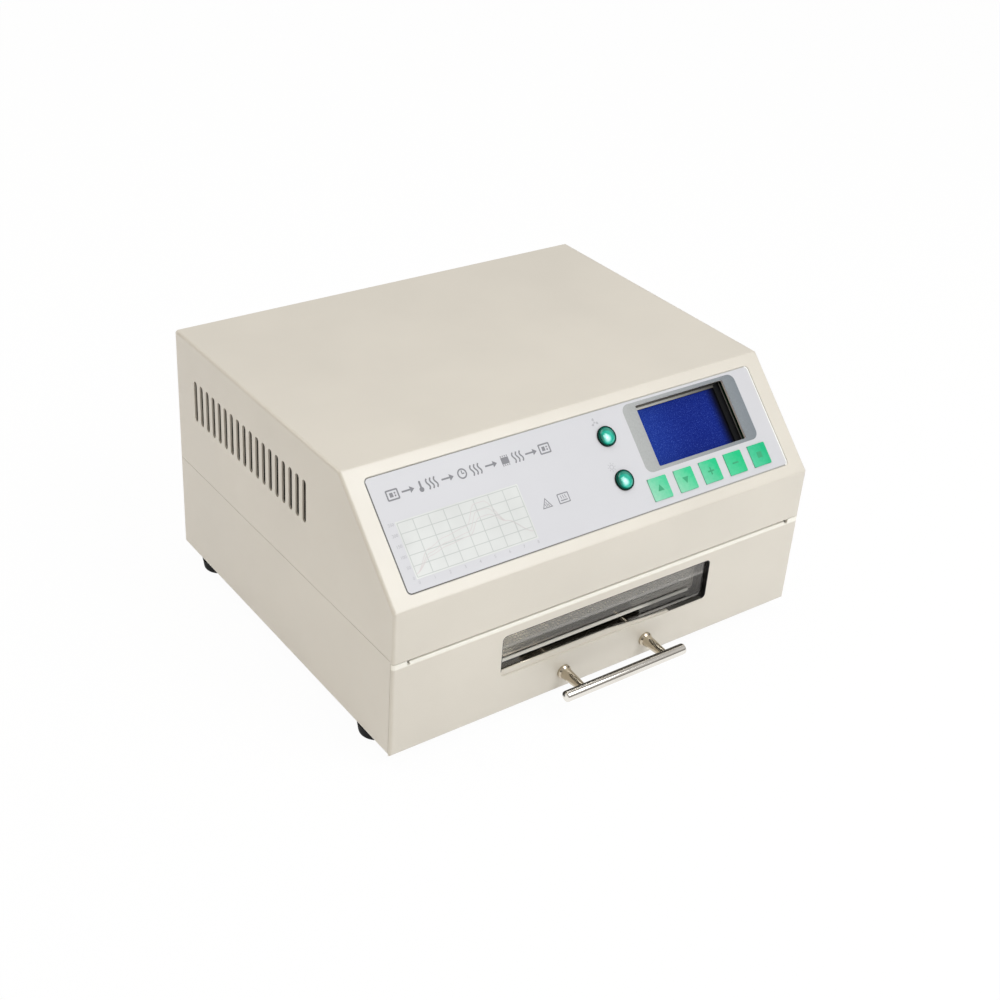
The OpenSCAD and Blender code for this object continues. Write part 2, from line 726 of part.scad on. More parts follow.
// Control board behind the slope, with a switch under each key
module control_board() color("#2f6b3f") on_panel() {
    w = 2 * (board_half_w + board_edge);
    h = board_top + board_bottom + 2 * board_edge;
    translate([0, 0, -board_depth - board_t]) linear_extrude(board_t) difference() {
        translate([display_x, (board_top - board_bottom) / 2]) square([w, h], center = true);
        for (p = board_screws()) translate(p) circle(r = 1.5 + hole_gap);
    }
    for (i = [0:key_count - 1]) translate([key_x(i), -key_drop, -board_depth]) {
        translate([-3, -3, 0]) cube([6, 6, key_switch_h - 0.7]);
        cylinder(d = 3.5, h = key_switch_h);
    }
}

// Studs that carry the control board
module board_standoffs() color(steel) on_panel() for (p = board_screws()) translate([p[0], p[1], 0]) {
    translate([0, 0, -board_depth]) cylinder(r = 2.5, h = board_depth + panel_back);
    translate([0, 0, -board_depth - board_t - 3]) cylinder(r = 1.5, h = board_t + 3.5);
    translate([0, 0, -board_depth - board_t - 2.2]) cylinder(r = 3, h = 2.2, $fn = 6);
}

// Round push switch: ring, barrel, housing and the nut behind the panel
module push_switch(v) color(dark) on_panel() translate([button_x, v, 0]) difference() {
    union() {
        translate([0, 0, overlay_top]) cylinder(d = ring_d, h = ring_h);
        translate([0, 0, -barrel_end]) cylinder(d = barrel_d, h = barrel_end + overlay_top + 0.1);
        translate([0, 0, panel_back - 2.5]) cylinder(r = barrel_d / 2 + 2, h = 2.5, $fn = 6);
        translate([0, 0, overlay_top - switch_depth]) linear_extrude(switch_depth - barrel_end - overlay_top)
            square(barrel_d + 0.6, center = true);
    }
    translate([0, 0, -barrel_end - 1]) cylinder(d = cap_d + 2 * fit_gap, h = barrel_end + ring_h + 2);
}

module fan_switch_body() push_switch(button_v + button_pitch / 2);
module lamp_switch_body() push_switch(button_v - button_pitch / 2);

// Green cap of a push switch, with a domed face
module push_cap(v) color("#19b79a") on_panel() translate([button_x, v, 0]) {
    r = cap_d / 2;
    dome = 1.4;
    ball = (r * r + dome * dome) / (2 * dome);
    top = overlay_top + cap_h;
    rotate_extrude() polygon(concat([[0, button_travel + fit_gap - barrel_end - 1],
        [r, button_travel + fit_gap - barrel_end - 1]],
        arc([0, top - ball], ball, acos(r / ball), 90)));
}

module fan_button() push_cap(button_v + button_pitch / 2);
module lamp_button() push_cap(button_v - button_pitch / 2);

// Square key on its stem
module key(i) color(green) on_panel() translate([key_x(i), -key_drop, 0]) {
    translate([0, 0, panel_back]) linear_extrude(overlay_top + key_h - panel_back)
        polygon(round_rect(key_size, key_size, 1));
    stem_end = key_switch_h + key_travel + fit_gap - board_depth;
    translate([0, 0, stem_end]) cylinder(d = 5, h = panel_back - stem_end + 0.5);
}

// Heating chamber: a sheet-steel box, open below, with a flange along each side
module chamber_shell() color("#a9acae") in_case() difference() {
    union() {
        translate([-chamber_half, chamber_front, chamber_z])
            cube([2 * chamber_half, chamber_rear - chamber_front, chamber_h]);
        translate([seam_gap - inner_half, chamber_front, chamber_z])
            cube([2 * (inner_half - seam_gap), chamber_rear - chamber_front, chamber_t]);
    }
    translate([chamber_t - chamber_half, chamber_front + chamber_t, chamber_z - 1])
        cube([2 * (chamber_half - chamber_t), chamber_rear - chamber_front - 2 * chamber_t, chamber_h - chamber_t + 1]);
    for (i = [1:tube_count]) tube_axis(i) cylinder(d = neck_d + 2 * hole_gap, h = case_w, center = true);
    for (s = [-1, 1]) translate([s * probe_x, chamber_rear - 2, probe_z]) rotate([-90, 0, 0])
        cylinder(d = probe_d + 2 * hole_gap, h = 4);
}

function tube_y(i) = chamber_front + (chamber_rear - chamber_front) * (i - 0.5) / tube_count;

module tube_axis(i) translate([0, tube_y(i), chamber_z + tube_z]) rotate([0, 90, 0]) children();

// Folded line of the reflector, moved down by a drop
function trough_edge(drop) =
    let (wall = chamber_t + hole_gap, ridge = chamber_top - chamber_t - drop,
        step = (chamber_rear - chamber_front) / tube_count / 2)
    concat([[chamber_front + wall, ridge - trough_h]], [for (i = [1:tube_count]) each [
        [tube_y(i) - step * 0.4, ridge], [tube_y(i) + step * 0.4, ridge],
        [min(tube_y(i) + step, chamber_rear - wall), ridge - trough_h]]]);

// Polished reflector, folded into a trough over each tube
module reflector() color("#d5d8da") in_case() {
    upper = trough_edge(0);
    lower = trough_edge(reflector_t);
    along_x(2 * (chamber_half - chamber_t - hole_gap))
        polygon(concat(upper, [for (i = [len(lower) - 1:-1:0]) lower[i]]));
}

// Ceramic-fibre blanket on the chamber, with holes for the shelf's legs
module insulation_blanket() color("#e8e6df") in_case() translate([0, 0, chamber_top]) linear_extrude(blanket_t)
    difference() {
        translate([2 - chamber_half, chamber_front + 10])
            square([2 * (chamber_half - 2), chamber_rear - chamber_front - 10]);
        for (p = shelf_legs()) translate(p) circle(r = leg_r + hole_gap);
    }

// Angles on the case's side walls that carry the chamber
module support_rails() color(steel) in_case() both_sides()
    along_y(chamber_front, chamber_rear - chamber_front) polygon([
        [inner_half, chamber_z], [inner_half - rail_w, chamber_z], [inner_half - rail_w, chamber_z - sheet],
        [inner_half - sheet, chamber_z - sheet], [inner_half - sheet, chamber_z - rail_h],
        [inner_half, chamber_z - rail_h]]);

// Quartz tube of a heater
module heater_tube(i) color("#e9edf0", 0.6) in_case() tube_axis(i) linear_extrude(
    2 * (chamber_half + cap_grip - hole_gap), center = true) difference() {
        circle(d = tube_d);
        circle(d = tube_d - 2 * tube_wall);
    }

// Ceramic caps that hold the tubes in the chamber's side walls
module heater_end_caps() color("#f2efe6") in_case() for (i = [1:tube_count]) both_sides() tube_axis(i)
    translate([0, 0, chamber_half]) difference() {
        union() {
            translate([0, 0, -cap_neck]) cylinder(d = neck_d, h = cap_neck + 1);
            cylinder(d = end_cap_d, h = cap_l);
            cylinder(d = cap_pin_d, h = cap_l + cap_pin_l);
        }
        translate([0, 0, -cap_neck - 1]) cylinder(d = tube_d + 2 * hole_gap, h = cap_grip + cap_neck + 1);
    }

// Strips that stand on the chamber's flanges and back up the end caps
module heater_brackets() color(steel) in_case() both_sides() difference() {
    x = chamber_half + cap_l;
    foot = chamber_z + chamber_t;
    l = chamber_rear - chamber_front - 2 * bracket_inset;
    union() {
        translate([x, chamber_front + bracket_inset, foot]) cube([sheet, l, tube_z + bracket_rise]);
        translate([x, chamber_front + bracket_inset, foot]) cube([bracket_foot, l, sheet]);
    }
    for (i = [1:tube_count]) tube_axis(i) translate([0, 0, x - 1])
        cylinder(d = cap_pin_d + 2 * hole_gap, h = cap_pin_l);
}

// Sheathed temperature probes that reach in through the chamber's rear wall
module thermocouples() color("#c9a24a") in_case() for (s = [-1, 1])
    translate([s * probe_x, chamber_rear, probe_z]) rotate([90, 0, 0]) {
        rotate_extrude() polygon([[0, -probe_tail], [probe_d / 2, -probe_tail], [probe_d / 2, probe_l - 1],
            [probe_d / 4, probe_l], [0, probe_l]]);
        translate([0, 0, -probe_nut_h]) cylinder(d = probe_nut_d, h = probe_nut_h, $fn = 6);
    }

// Lamp on the chamber's front wall and its ceramic holder
module lamp_holder() color("#f2efe6") in_case()
    translate([lamp_x, chamber_front + chamber_t, lamp_z - holder_w / 2]) cube([holder_l, holder_w, holder_w]);

module chamber_lamp() color("#f4f1d8", 0.7) in_case()
    translate([lamp_x + holder_l, chamber_front + chamber_t + holder_w / 2, lamp_z]) rotate([0, 90, 0])
        rotate_extrude() polygon(concat([[0, 0], [lamp_d / 2 - 1, 0], [lamp_d / 2 - 1, 2], [lamp_d / 2, 3]],
            arc([0, lamp_l], lamp_d / 2, 0, 90)));

function shelf_legs() = [for (x = [-1, 1], y = [shelf_front + 12, chamber_rear - 16]) [x * (shelf_w / 2 - leg_inset), y]];

// Shelf on four legs over the chamber, which carries the electronics
module electronics_shelf() color(steel) in_case() {
    along_y(shelf_front, shelf_d) translate([0, shelf_z]) polygon([
        [-shelf_w / 2, shelf_edge], [-shelf_w / 2, 0], [shelf_w / 2, 0], [shelf_w / 2, shelf_edge],
        [shelf_w / 2 - sheet, shelf_edge], [shelf_w / 2 - sheet, sheet], [sheet - shelf_w / 2, sheet],
        [sheet - shelf_w / 2, shelf_edge]]);
    for (p = shelf_legs()) translate([p[0], p[1], chamber_top]) cylinder(r = leg_r, h = shelf_gap + sheet / 2);
}

module on_shelf(x, y) in_case() translate([x, y, shelf_z + sheet]) children();

module on_power_board() on_shelf(shelf_w / 2 - power_board_inset, shelf_mid) children();

// Transformer: laminated core with a coil through it
module transformer() color("#6f6a62") on_shelf(transformer_inset - shelf_w / 2, shelf_mid) {
    translate([-transformer_w / 2, -transformer_d / 4, 0]) cube([transformer_w, transformer_d / 2, transformer_h]);
    translate([0, 0, transformer_h / 2]) rotate([90, 0, 0]) linear_extrude(transformer_d, center = true)
        polygon(round_rect(transformer_w * 0.6, transformer_h * 0.66, 4));
}

// Power board with relays and capacitors, on short posts
module power_board() color("#2f6b3f") on_power_board() {
    for (x = [-1, 1], y = [-1, 1]) translate([x * (power_board_w / 2 - 5), y * (power_board_d / 2 - 5), 0])
        cylinder(r = 2.5, h = board_post_h);
    translate([-power_board_w / 2, -power_board_d / 2, board_post_h]) cube([power_board_w, power_board_d, board_t]);
    for (i = [0:2]) translate([-power_board_w / 2 + 6 + i * 22, -power_board_d / 2 + 6, board_post_h + board_t])
        cube([16, 20, relay_h]);
    for (i = [0:1]) translate([-power_board_w / 2 + 16 + i * 24, power_board_d / 2 - 18, board_post_h + board_t])
        cylinder(d = 16, h = capacitor_h);
}

// Finned heat sink on the power board
module heatsink() color("#b5b8ba") on_power_board()
    translate([power_board_w / 2 - 6 - heatsink_w, power_board_d / 2 - 6 - heatsink_d, board_post_h + board_t]) {
        cube([heatsink_w, heatsink_d, 3]);
        for (i = [0:fin_count - 1]) translate([i * (heatsink_w - 1.4) / (fin_count - 1), 0, 0])
            cube([1.4, heatsink_d, heatsink_h]);
    }

// Terminal block for the mains wiring
module terminal_block() color("#e5e2d8")
    on_shelf(shelf_w / 2 - terminal_inset, shelf_front + shelf_d - terminal_h / 2 - 6) difference() {
        pitch = terminal_w / 6;
        translate([-terminal_w / 2, -terminal_h / 2, 0]) cube([terminal_w, terminal_h, terminal_h]);
        for (i = [0:5]) translate([(i - 2.5) * pitch, 0, terminal_h / 2]) {
            rotate([90, 0, 0]) cylinder(r = 2.2, h = terminal_h + 4, center = true);
            cylinder(r = 2, h = terminal_h);
        }
    }

// Frame of the fan: its middle on z, the rear panel's inner face at z = 0 and z into the case
module fan_place() in_case() translate([-fan_x, rear_in, fan_z]) rotate([90, 0, 0]) children();

module fan_screw_places() for (x = [-1, 1], y = [-1, 1]) translate([x * fan_pitch / 2, y * fan_pitch / 2, 0]) children();

// Fan frame with its hub, struts and shaft
module fan_frame() color(dark) fan_place() {
    linear_extrude(fan_t) difference() {
        polygon(round_rect(fan_size, fan_size, 4));
        circle(d = fan_bore);
        fan_screw_places() circle(r = fan_screw_r + 0.15);
    }
    cylinder(d = hub_d, h = 3);
    for (a = [45:90:315]) rotate([0, 0, a]) translate([hub_d / 2 - 1, -2.5, 0])
        cube([(fan_bore - hub_d) / 2 + 1.8, 5, 3]);
    cylinder(r = 1.5, h = fan_t - 4);
}

// Fan rotor: hub with pitched blades
module fan_rotor() color("#303236") fan_place() difference() {
    union() {
        translate([0, 0, 3.5]) cylinder(d = hub_d, h = fan_t - 5.5);
        intersection() {
            translate([0, 0, 4]) cylinder(d = fan_bore - 2, h = fan_t - 6.5);
            for (i = [0:blade_count - 1]) rotate([0, 0, i * 360 / blade_count])
                translate([fan_bore / 4, 0, fan_t / 2 + 0.8]) rotate([48, 0, 0])
                    cube([fan_bore / 2, 1.6, fan_t], center = true);
        }
    }
    cylinder(r = 1.5 + fit_gap / 2, h = fan_t - 3.5);
}

// Wire guard outside the fan
module fan_guard() color(steel) fan_place() {
    seat = -sheet - eyelet_t / 2;
    loop_r = norm([fan_pitch, fan_pitch]) / 2;
    wire_start = fan_bore / guard_rings / 2 - 2;
    for (i = [1:guard_rings]) translate([0, 0, seat - 0.8 * guard_wire]) rotate_extrude()
        translate([i * (fan_bore / 2 - 1) / guard_rings, 0]) circle(d = guard_wire, $fn = 8);
    for (a = [45:90:315]) rotate([0, 0, a]) {
        translate([wire_start, 0, seat]) rotate([0, 90, 0]) rotate([0, 0, 22.5])
            cylinder(d = guard_wire, h = loop_r - 3.4 - wire_start, $fn = 8);
        translate([loop_r, 0, -sheet - eyelet_t]) difference() {
            cylinder(r = 4.4, h = eyelet_t);
            translate([0, 0, -1]) cylinder(r = fan_screw_r + hole_gap, h = eyelet_t + 2);
        }
    }
}

// Frame of the inlet or switch: z out of the rear panel's outer face, y down
module rear_place(z) in_case() translate([inlet_x, case_d, z]) rotate([-90, 0, 0]) children();

// Socket of the mains inlet, with its two cut corners
module socket_outline(gap) {
    w = 12.2 - gap;
    h = 8.3 - gap;
    polygon([[-w, h], [w, h], [w, 4 - h], [w - 4, -h], [4 - w, -h], [-w, 4 - h]]);
}

module power_inlet() color(dark) rear_place(inlet_z) difference() {
    union() {
        linear_extrude(inlet_flange_t) polygon(round_rect(inlet_w, inlet_h, 5));
        linear_extrude(inlet_reach) polygon(round_rect(inlet_body_w + 2, inlet_body_h + 1.6, 3));
        translate([0, 0, -inlet_body_d]) linear_extrude(inlet_body_d + 1)
            square([inlet_body_w, inlet_body_h], center = true);
    }
    translate([0, 0, inlet_reach - socket_depth]) linear_extrude(socket_depth + 1) socket_outline(0);
    for (s = [-1, 1]) translate([s * inlet_screw_x, 0, -1]) cylinder(r = 1.5 + hole_gap, h = inlet_flange_t + 2);
}

// Contact pins in the socket and their tabs behind the inlet
module inlet_pins() color("#c9a24a") rear_place(inlet_z) for (p = [[-7, 2], [0, -2], [7, 2]]) {
    translate([p[0] - 1, p[1] - 2, inlet_reach - socket_depth]) cube([2, 4, socket_depth - 4.5]);
    translate([p[0] - 0.4, p[1] - 3, -inlet_body_d - 7]) cube([0.8, 6, 7]);
}

// Body of the mains switch
module power_switch_body() color(dark) rear_place(switch_z) difference() {
    body = [switch_w - 2 * switch_rim, switch_h - 2 * switch_rim];
    union() {
        linear_extrude(switch_face) polygon(round_rect(switch_w, switch_h, 1.5));
        translate([0, 0, -14]) linear_extrude(15) square(body, center = true);
    }
    translate([0, 0, -rocker_deep]) linear_extrude(rocker_deep + 4)
        square([body[0] - 2, body[1] - 1.6], center = true);
}

// Rocker of the mains switch, resting tipped to one side
module power_rocker() color("#b3231f") rear_place(switch_z) translate([0, 0, -0.5]) rotate([-rocker_throw / 2, 0, 0]) {
    half = (switch_h - 2 * switch_rim - 1.6) / 2 - 0.9;
    rise = half * tan(rocker_throw / 2);
    along_x(switch_w - 2 * switch_rim - 2 - 2 * fit_gap) polygon([
        [-half, 2 + rise], [0, 2], [half, 2 + rise], [half, -1.2], [3, -4.4], [-3, -4.4], [-half, -1.2]]);
}

// Members of the telescopic slides, drawn for the right side
slide_tip = drawer_half + member_t + 2 * race_gap;

module outer_member() in_case() along_y(slide_front, slide_l) translate([0, slide_z])
    polygon(channel(inner_half, slide_tip, slide_h, member_t));

module middle_member() in_case() along_y(slide_front, slide_l) translate([0, slide_z])
    polygon(channel(inner_half - member_t - race_gap, slide_tip, slide_h - 2 * (member_t + race_gap), member_t));

module inner_member() in_case() along_y(slide_front, pan_rear - slide_front) translate([0, slide_z])
    polygon(channel(drawer_half, inner_half - 2 * (member_t + race_gap), slide_h - 4 * (member_t + race_gap), member_t));

module slide_outer_left() color(steel) mirror([1, 0, 0]) outer_member();
module slide_outer_right() color(steel) outer_member();
module slide_middle_left() color(steel) mirror([1, 0, 0]) middle_member();
module slide_middle_right() color(steel) middle_member();
module slide_inner_left() color(steel) mirror([1, 0, 0]) inner_member();
module slide_inner_right() color(steel) inner_member();

// Drawer front: full-width sheet with folded top and bottom edges, and the window opening
module drawer_front() color(paint) in_case() difference() {
    fold_half = half_w - notch_inset - notch_w / 2;
    union() {
        translate([-half_w, 0, front_bottom]) cube([case_w, front_t, lip_bottom - corner_gap - front_bottom]);
        along_y(front_t / 2, front_t / 2 + collar_d) translate([0, window_z])
            polygon(round_rect(window_w + 2 * sheet, window_h + 2 * sheet, window_r + sheet));
        translate([-fold_half, 0, front_top - front_t]) cube([2 * fold_half, front_fold, front_t]);
        translate([seam_gap - inner_half, 0, front_bottom])
            cube([2 * (inner_half - seam_gap), front_fold, front_t]);
    }
    translate([-fold_half - notch_w, -1, front_top]) cube([2 * (fold_half + notch_w), front_fold + 2, 5]);
    both_sides() {
        translate([fold_half, -1, front_top - notch_h]) cube([notch_w, front_fold + 2, 5]);
        translate([half_w, 0, -1]) mirror([0, 1, 0]) bend_waste(seam_z);
    }
    translate([fold_half, 0, front_top]) rotate([0, -90, 0]) rotate([0, 0, -90]) bend_waste(2 * fold_half);
    translate([-half_w - 1, 0, front_bottom]) rotate([0, 90, 0]) rotate([0, 0, -90]) bend_waste(case_w + 2);
    along_y(-1, pane_front + 2) {
        translate([0, window_z]) polygon(round_rect(window_w, window_h, window_r));
        for (s = [-1, 1]) translate([s * post_pitch / 2, handle_z]) circle(r = 2 + hole_gap);
    }
}

// Double glazing of the window: a pane behind the collar and one farther in
module window_glass() color("#cfd6d8", 0.4) in_case() pane_places()
    along_y(0, glass_t) square([window_w + 2 * glass_lap, window_h + 2 * glass_lap], center = true);

module pane_places() for (y = [pane_front, pane_front + glass_t + pane_gap]) translate([0, y, window_z]) children();

// Frame that holds the panes, with slots open to the top through which they slide in
module window_frame() color(dark) in_case() difference() {
    slot_half = window_w / 2 + glass_lap + hole_gap / 2;
    frame_half = window_h / 2 + glass_lap + frame_edge;
    collar = round_rect(window_w + 2 * (sheet + hole_gap / 2), window_h + 2 * (sheet + hole_gap / 2),
        window_r + sheet + hole_gap / 2);
    translate([0, 0, window_z]) along_y(front_t, frame_depth)
        square([window_w + 2 * (glass_lap + frame_rim), 2 * frame_half], center = true);
    pane_places() along_y(0, glass_t) translate([-slot_half, -window_h / 2 - glass_lap - hole_gap / 2])
        square([2 * slot_half, window_h + 2 * (glass_lap + frame_edge)]);
    translate([0, 0, window_z]) {
        along_y(front_t - 1, collar_d + 1) polygon(collar);
        along_y(front_t, frame_depth + 1) polygon(round_rect(window_w, window_h, window_r));
    }
    frame_screw_places() cylinder(r = 1.4 + hole_gap, h = 4 * frame_depth, center = true);
}

module frame_screw_places() for (x = [-1, 1], z = [-1, 1])
    translate([x * (window_w / 2 + glass_lap + frame_rim / 2), front_t + frame_depth, window_z + z * window_h / 3])
        rotate([-90, 0, 0]) children();

// Screws of the window frame and of the handle
module drawer_screws() color(steel) in_case() {
    frame_screw_places() screw(2.5, 1.7, 1.4, frame_depth);
    for (s = [-1, 1]) translate([s * post_pitch / 2, front_t, handle_z]) rotate([-90, 0, 0])
        screw(3.5, 2.4, 2, front_t + post_bore);
}

// Drawer pan folded from one sheet, low in front below the window
module drawer_pan() color(steel) in_case() difference() {
    translate([-drawer_half, front_t, pan_z]) cube([2 * drawer_half, pan_rear - front_t, pan_h]);
    translate([pan_t - drawer_half, front_t + pan_t, pan_z + pan_t])
        cube([2 * (drawer_half - pan_t), pan_rear - front_t - 2 * pan_t, pan_h]);
    translate([10 - drawer_half, front_t - 1, pan_z + pan_front_h]) cube([2 * (drawer_half - 10), pan_t + 2, pan_h]);
    for (s = [-1, 1]) translate([s * post_pitch / 2, 0, handle_z]) rotate([-90, 0, 0])
        cylinder(r = 3.5 + hole_gap, h = front_t + pan_t + 1);
}

// Channels on the pan's floor that carry the board tray
module tray_supports() color(steel) in_case() both_sides() {
    h = tray_z - pan_z - pan_t;
    along_y(tray_front, tray_d) translate([0, pan_z + pan_t + h / 2])
        polygon(channel(heat_w / 2, heat_w / 2 - 10, h, pan_t));
}

// Insulation on the pan's floor
module floor_pad() color("#e8e6df") in_case()
    translate([hole_gap + 10 - heat_w / 2, tray_front, pan_z + pan_t])
        cube([heat_w - 20 - 2 * hole_gap, tray_d, pad_t]);

// Board tray: plate with a grid of square openings
module board_tray() color("#c4c7c9") in_case() translate([0, tray_front + tray_d / 2, tray_z]) {
    clear_w = tray_w - 2 * tray_rim;
    clear_d = tray_d - 2 * tray_rim;
    nx = floor((clear_w + mesh_bar) / mesh_pitch);
    ny = floor((clear_d + mesh_bar) / mesh_pitch);
    cell = mesh_pitch - mesh_bar;
    linear_extrude(tray_t) difference() {
        polygon(round_rect(tray_w, tray_d, 4));
        for (i = [0:nx - 1], j = [0:ny - 1])
            translate([(i - (nx - 1) / 2) * mesh_pitch, (j - (ny - 1) / 2) * mesh_pitch])
                square(cell, center = true);
    }
}

// Handle bar with chamfered ends
module handle_bar() color(steel) in_case() translate([0, -bar_out, handle_z]) rotate([0, 90, 0]) rotate_extrude()
    polygon([[0, -bar_l / 2], [bar_d / 2 - 1, -bar_l / 2], [bar_d / 2, 1 - bar_l / 2], [bar_d / 2, bar_l / 2 - 1],
        [bar_d / 2 - 1, bar_l / 2], [0, bar_l / 2]]);

// Tapered posts between the drawer front and the bar
module handle_posts() color(steel) in_case() for (s = [-1, 1]) translate([s * post_pitch / 2, 0, handle_z])
    rotate([90, 0, 0]) difference() {
        rotate_extrude() polygon([[0, 0], [post_foot_d / 2, 0], [post_foot_d / 2, 1.5], [post_d / 2, 2.5],
            [post_tip_d / 2, bar_out - bar_d / 4], [0, bar_out - bar_d / 4]]);
        translate([0, 0, bar_out]) rotate([0, 90, 0]) cylinder(d = bar_d + 0.1, h = 20, center = true);
        translate([0, 0, -1]) cylinder(r = 2.1, h = post_bore + 1.5);
    }

bottom_case();
top_cover();
rear_panel();
case_screws();
rubber_feet();
control_overlay();
control_board();
lcd_frame();
lcd_screen();
board_standoffs();
fan_switch_body();
lamp_switch_body();
chamber_shell();
reflector();
insulation_blanket();
support_rails();
heater_tube(1);  // heater_tube_1
heater_tube(2);  // heater_tube_2
heater_tube(3);  // heater_tube_3
heater_tube(4);  // heater_tube_4
heater_end_caps();
heater_brackets();
thermocouples();
chamber_lamp();
lamp_holder();
electronics_shelf();
transformer();
power_board();
heatsink();
terminal_block();
fan_frame();
fan_rotor();
fan_guard();
power_inlet();
inlet_pins();
power_switch_body();
power_rocker();
slide_outer_left();
slide_outer_right();
slide_middle_left();
slide_middle_right();
slide_inner_left();
slide_inner_right();
drawer_front();
window_glass();
window_frame();
drawer_pan();
tray_supports();
floor_pad();
board_tray();
handle_bar();
handle_posts();
drawer_screws();
fan_button();
lamp_button();
key(0);  // key_1
key(1);  // key_2
key(2);  // key_3
key(3);  // key_4
key(4);  // key_5
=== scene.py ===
"""Looks of a benchtop infrared reflow oven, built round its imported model.

Shapes are drawn in millimetres, in the frames CASE, SLOPE and FRONT, and reach Blender in metres.
"""
import json
import math

import bpy
from mathutils import Matrix, Vector


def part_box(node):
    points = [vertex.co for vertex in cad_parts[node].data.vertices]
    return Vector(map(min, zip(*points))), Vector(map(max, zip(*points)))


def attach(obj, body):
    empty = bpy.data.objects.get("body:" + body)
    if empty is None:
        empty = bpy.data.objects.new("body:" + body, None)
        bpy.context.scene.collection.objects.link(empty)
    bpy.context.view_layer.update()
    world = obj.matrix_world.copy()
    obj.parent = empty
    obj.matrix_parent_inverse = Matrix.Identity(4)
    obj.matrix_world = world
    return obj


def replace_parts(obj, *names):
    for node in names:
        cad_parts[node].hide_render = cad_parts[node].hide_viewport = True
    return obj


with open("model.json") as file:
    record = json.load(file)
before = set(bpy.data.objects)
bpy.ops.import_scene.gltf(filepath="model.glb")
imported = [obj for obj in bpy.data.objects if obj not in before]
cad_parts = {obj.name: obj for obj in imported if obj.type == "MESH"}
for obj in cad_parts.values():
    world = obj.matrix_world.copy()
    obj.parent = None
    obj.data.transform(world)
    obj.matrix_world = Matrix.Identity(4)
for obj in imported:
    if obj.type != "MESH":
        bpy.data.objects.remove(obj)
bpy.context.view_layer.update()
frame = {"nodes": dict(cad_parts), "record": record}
bpy.context.scene.view_settings.view_transform = "Standard"

MM = 0.001
TO_M = Matrix.Scale(MM, 4)

# Case: x from its middle, y from its front, z from its underside
FRONT_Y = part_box("drawer_front")[0].y / MM
FOOT_H = 8.0
CASE_H = 157.8
DRAWER_TOP = 63.5
LIP_TOP = 99.14  # the slope starts here
SLOPE_RUN = 59.34
SLOPE_ANGLE = math.atan2(CASE_H - LIP_TOP, SLOPE_RUN)
PANEL_MID = math.hypot(SLOPE_RUN, CASE_H - LIP_TOP) / 2

# Panel: x from the case's middle, v up the slope from the panel's middle
OVERLAY_TOP = -0.2  # height of the overlay's face over the slope
OVERLAY_X, OVERLAY_V, OVERLAY_R = 142.7, 34.12, 2.7  # half width, half height, corners
LAYER = 0.03  # thickness of the print
BORDER_BOX = (37.4, -12.1, 128.9, 32.3)
DISPLAY_X, DISPLAY_V = 82.5, 10.1
CUTOUT_X = DISPLAY_X + 1.1
CUTOUT_W, CUTOUT_H = 71.5, 39.9
SCREEN_X, SCREEN_V = DISPLAY_X - 1.2, DISPLAY_V - 0.9
BEZEL = -5.2  # height of the display's metal frame over the slope
RIM_OUTER, RIM_INNER = (38.8, 24.8, 1.3), (38.2, 24.2, 1.0)  # half width, half height and corners of the painted highlight line on the display's frame
BUTTON_X, BUTTON_V, BUTTON_PITCH = 19.1, 3.0, 28.2
UPPER_V, LOWER_V = BUTTON_V + BUTTON_PITCH / 2, BUTTON_V - BUTTON_PITCH / 2
KEY_PITCH, KEY_DROP, KEY_SIZE = 20.45, 22.5, 14.2
KEY_TOP = 0.6  # height of the keys over the overlay
KEY_SIGN_T = 0.04  # thickness of the signs on them
KEY_TONES = [((142, 208, 178), (70, 198, 148)), ((132, 207, 172), (50, 196, 140)),
             ((108, 200, 162), (24, 192, 132)), ((76, 198, 148), (14, 188, 126)),
             ((76, 194, 150), (12, 180, 124))]  # painted highlight tone and deep tone of each key, paler towards the row's left as painted sheen

# Chart on the panel
CHART_X0, CHART_X1, CHART_V0, CHART_V1 = -133.3, -52.75, -26.2, 5.28
CHART_COLS, CHART_ROWS = 8, 5
CHART_MARGIN = 1  # of plain ground round the grid
COL_LINE, ROW_LINE, CURVE_LINE = 0.48, 0.46, 0.34  # widths
CURVES = ((0.92, 0.52), (0.78, 0.42), (0.66, 0.36))  # peak and soak of each
CURVE_STEPS = 48
DIGIT_SIZE = 2.6

# Row of pictograms over the chart: height on the panel, size, start along x, and how far it is drawn out
ROW_V, ROW_H, ROW_X, ROW_STRETCH = 21.16, 6.4, -133.232, 0.992

# Window in the drawer front: size, corners and height of its middle
WINDOW_W, WINDOW_H, WINDOW_R, WINDOW_Z = 160.0, 29.1, 3.0, 41.65
WINDOW_LOW = WINDOW_Z - WINDOW_H / 2

# Cooling slots of each side, and the dark sheets behind them that paint shade into the slots
VENT_COUNT, VENT_PITCH, VENT_REAR, VENT_DROP = 18, 8.05, 25.3, 38.8
VENT_SHADE_H, VENT_SHADE_L, VENT_SHADE_T, VENT_SHADE_GAP = 36, 148, 0.8, 3.5
SHEET = 1.2

# Edges stay hard above these angles in degrees
NODE_CREASE, PIECE_CREASE = 31, 32


def at(x, y, z):
    """Move by millimetres."""
    return Matrix.Translation(Vector((x, y, z)))


CASE = at(0, FRONT_Y, FOOT_H)
SLOPE = CASE @ at(0, 0, LIP_TOP) @ Matrix.Rotation(SLOPE_ANGLE, 4, "X") @ at(0, PANEL_MID, 0)
FRONT = CASE @ Matrix.Rotation(math.radians(90), 4, "X")  # x, height and distance out of the front
SIDE = Matrix(((0, 0, 1, 0), (0, 1, 0, 0), (1, 0, 0, 0), (0, 0, 0, 1)))  # height, y and x


# ---------------------------------------------------------------- materials

def srgb(r, g, b):
    """Linear colour of an 8-bit sRGB one."""
    def lin(v):
        v /= 255.0
        return v / 12.92 if v <= 0.04045 else ((v + 0.055) / 1.055) ** 2.4
    return (lin(r), lin(g), lin(b), 1.0)


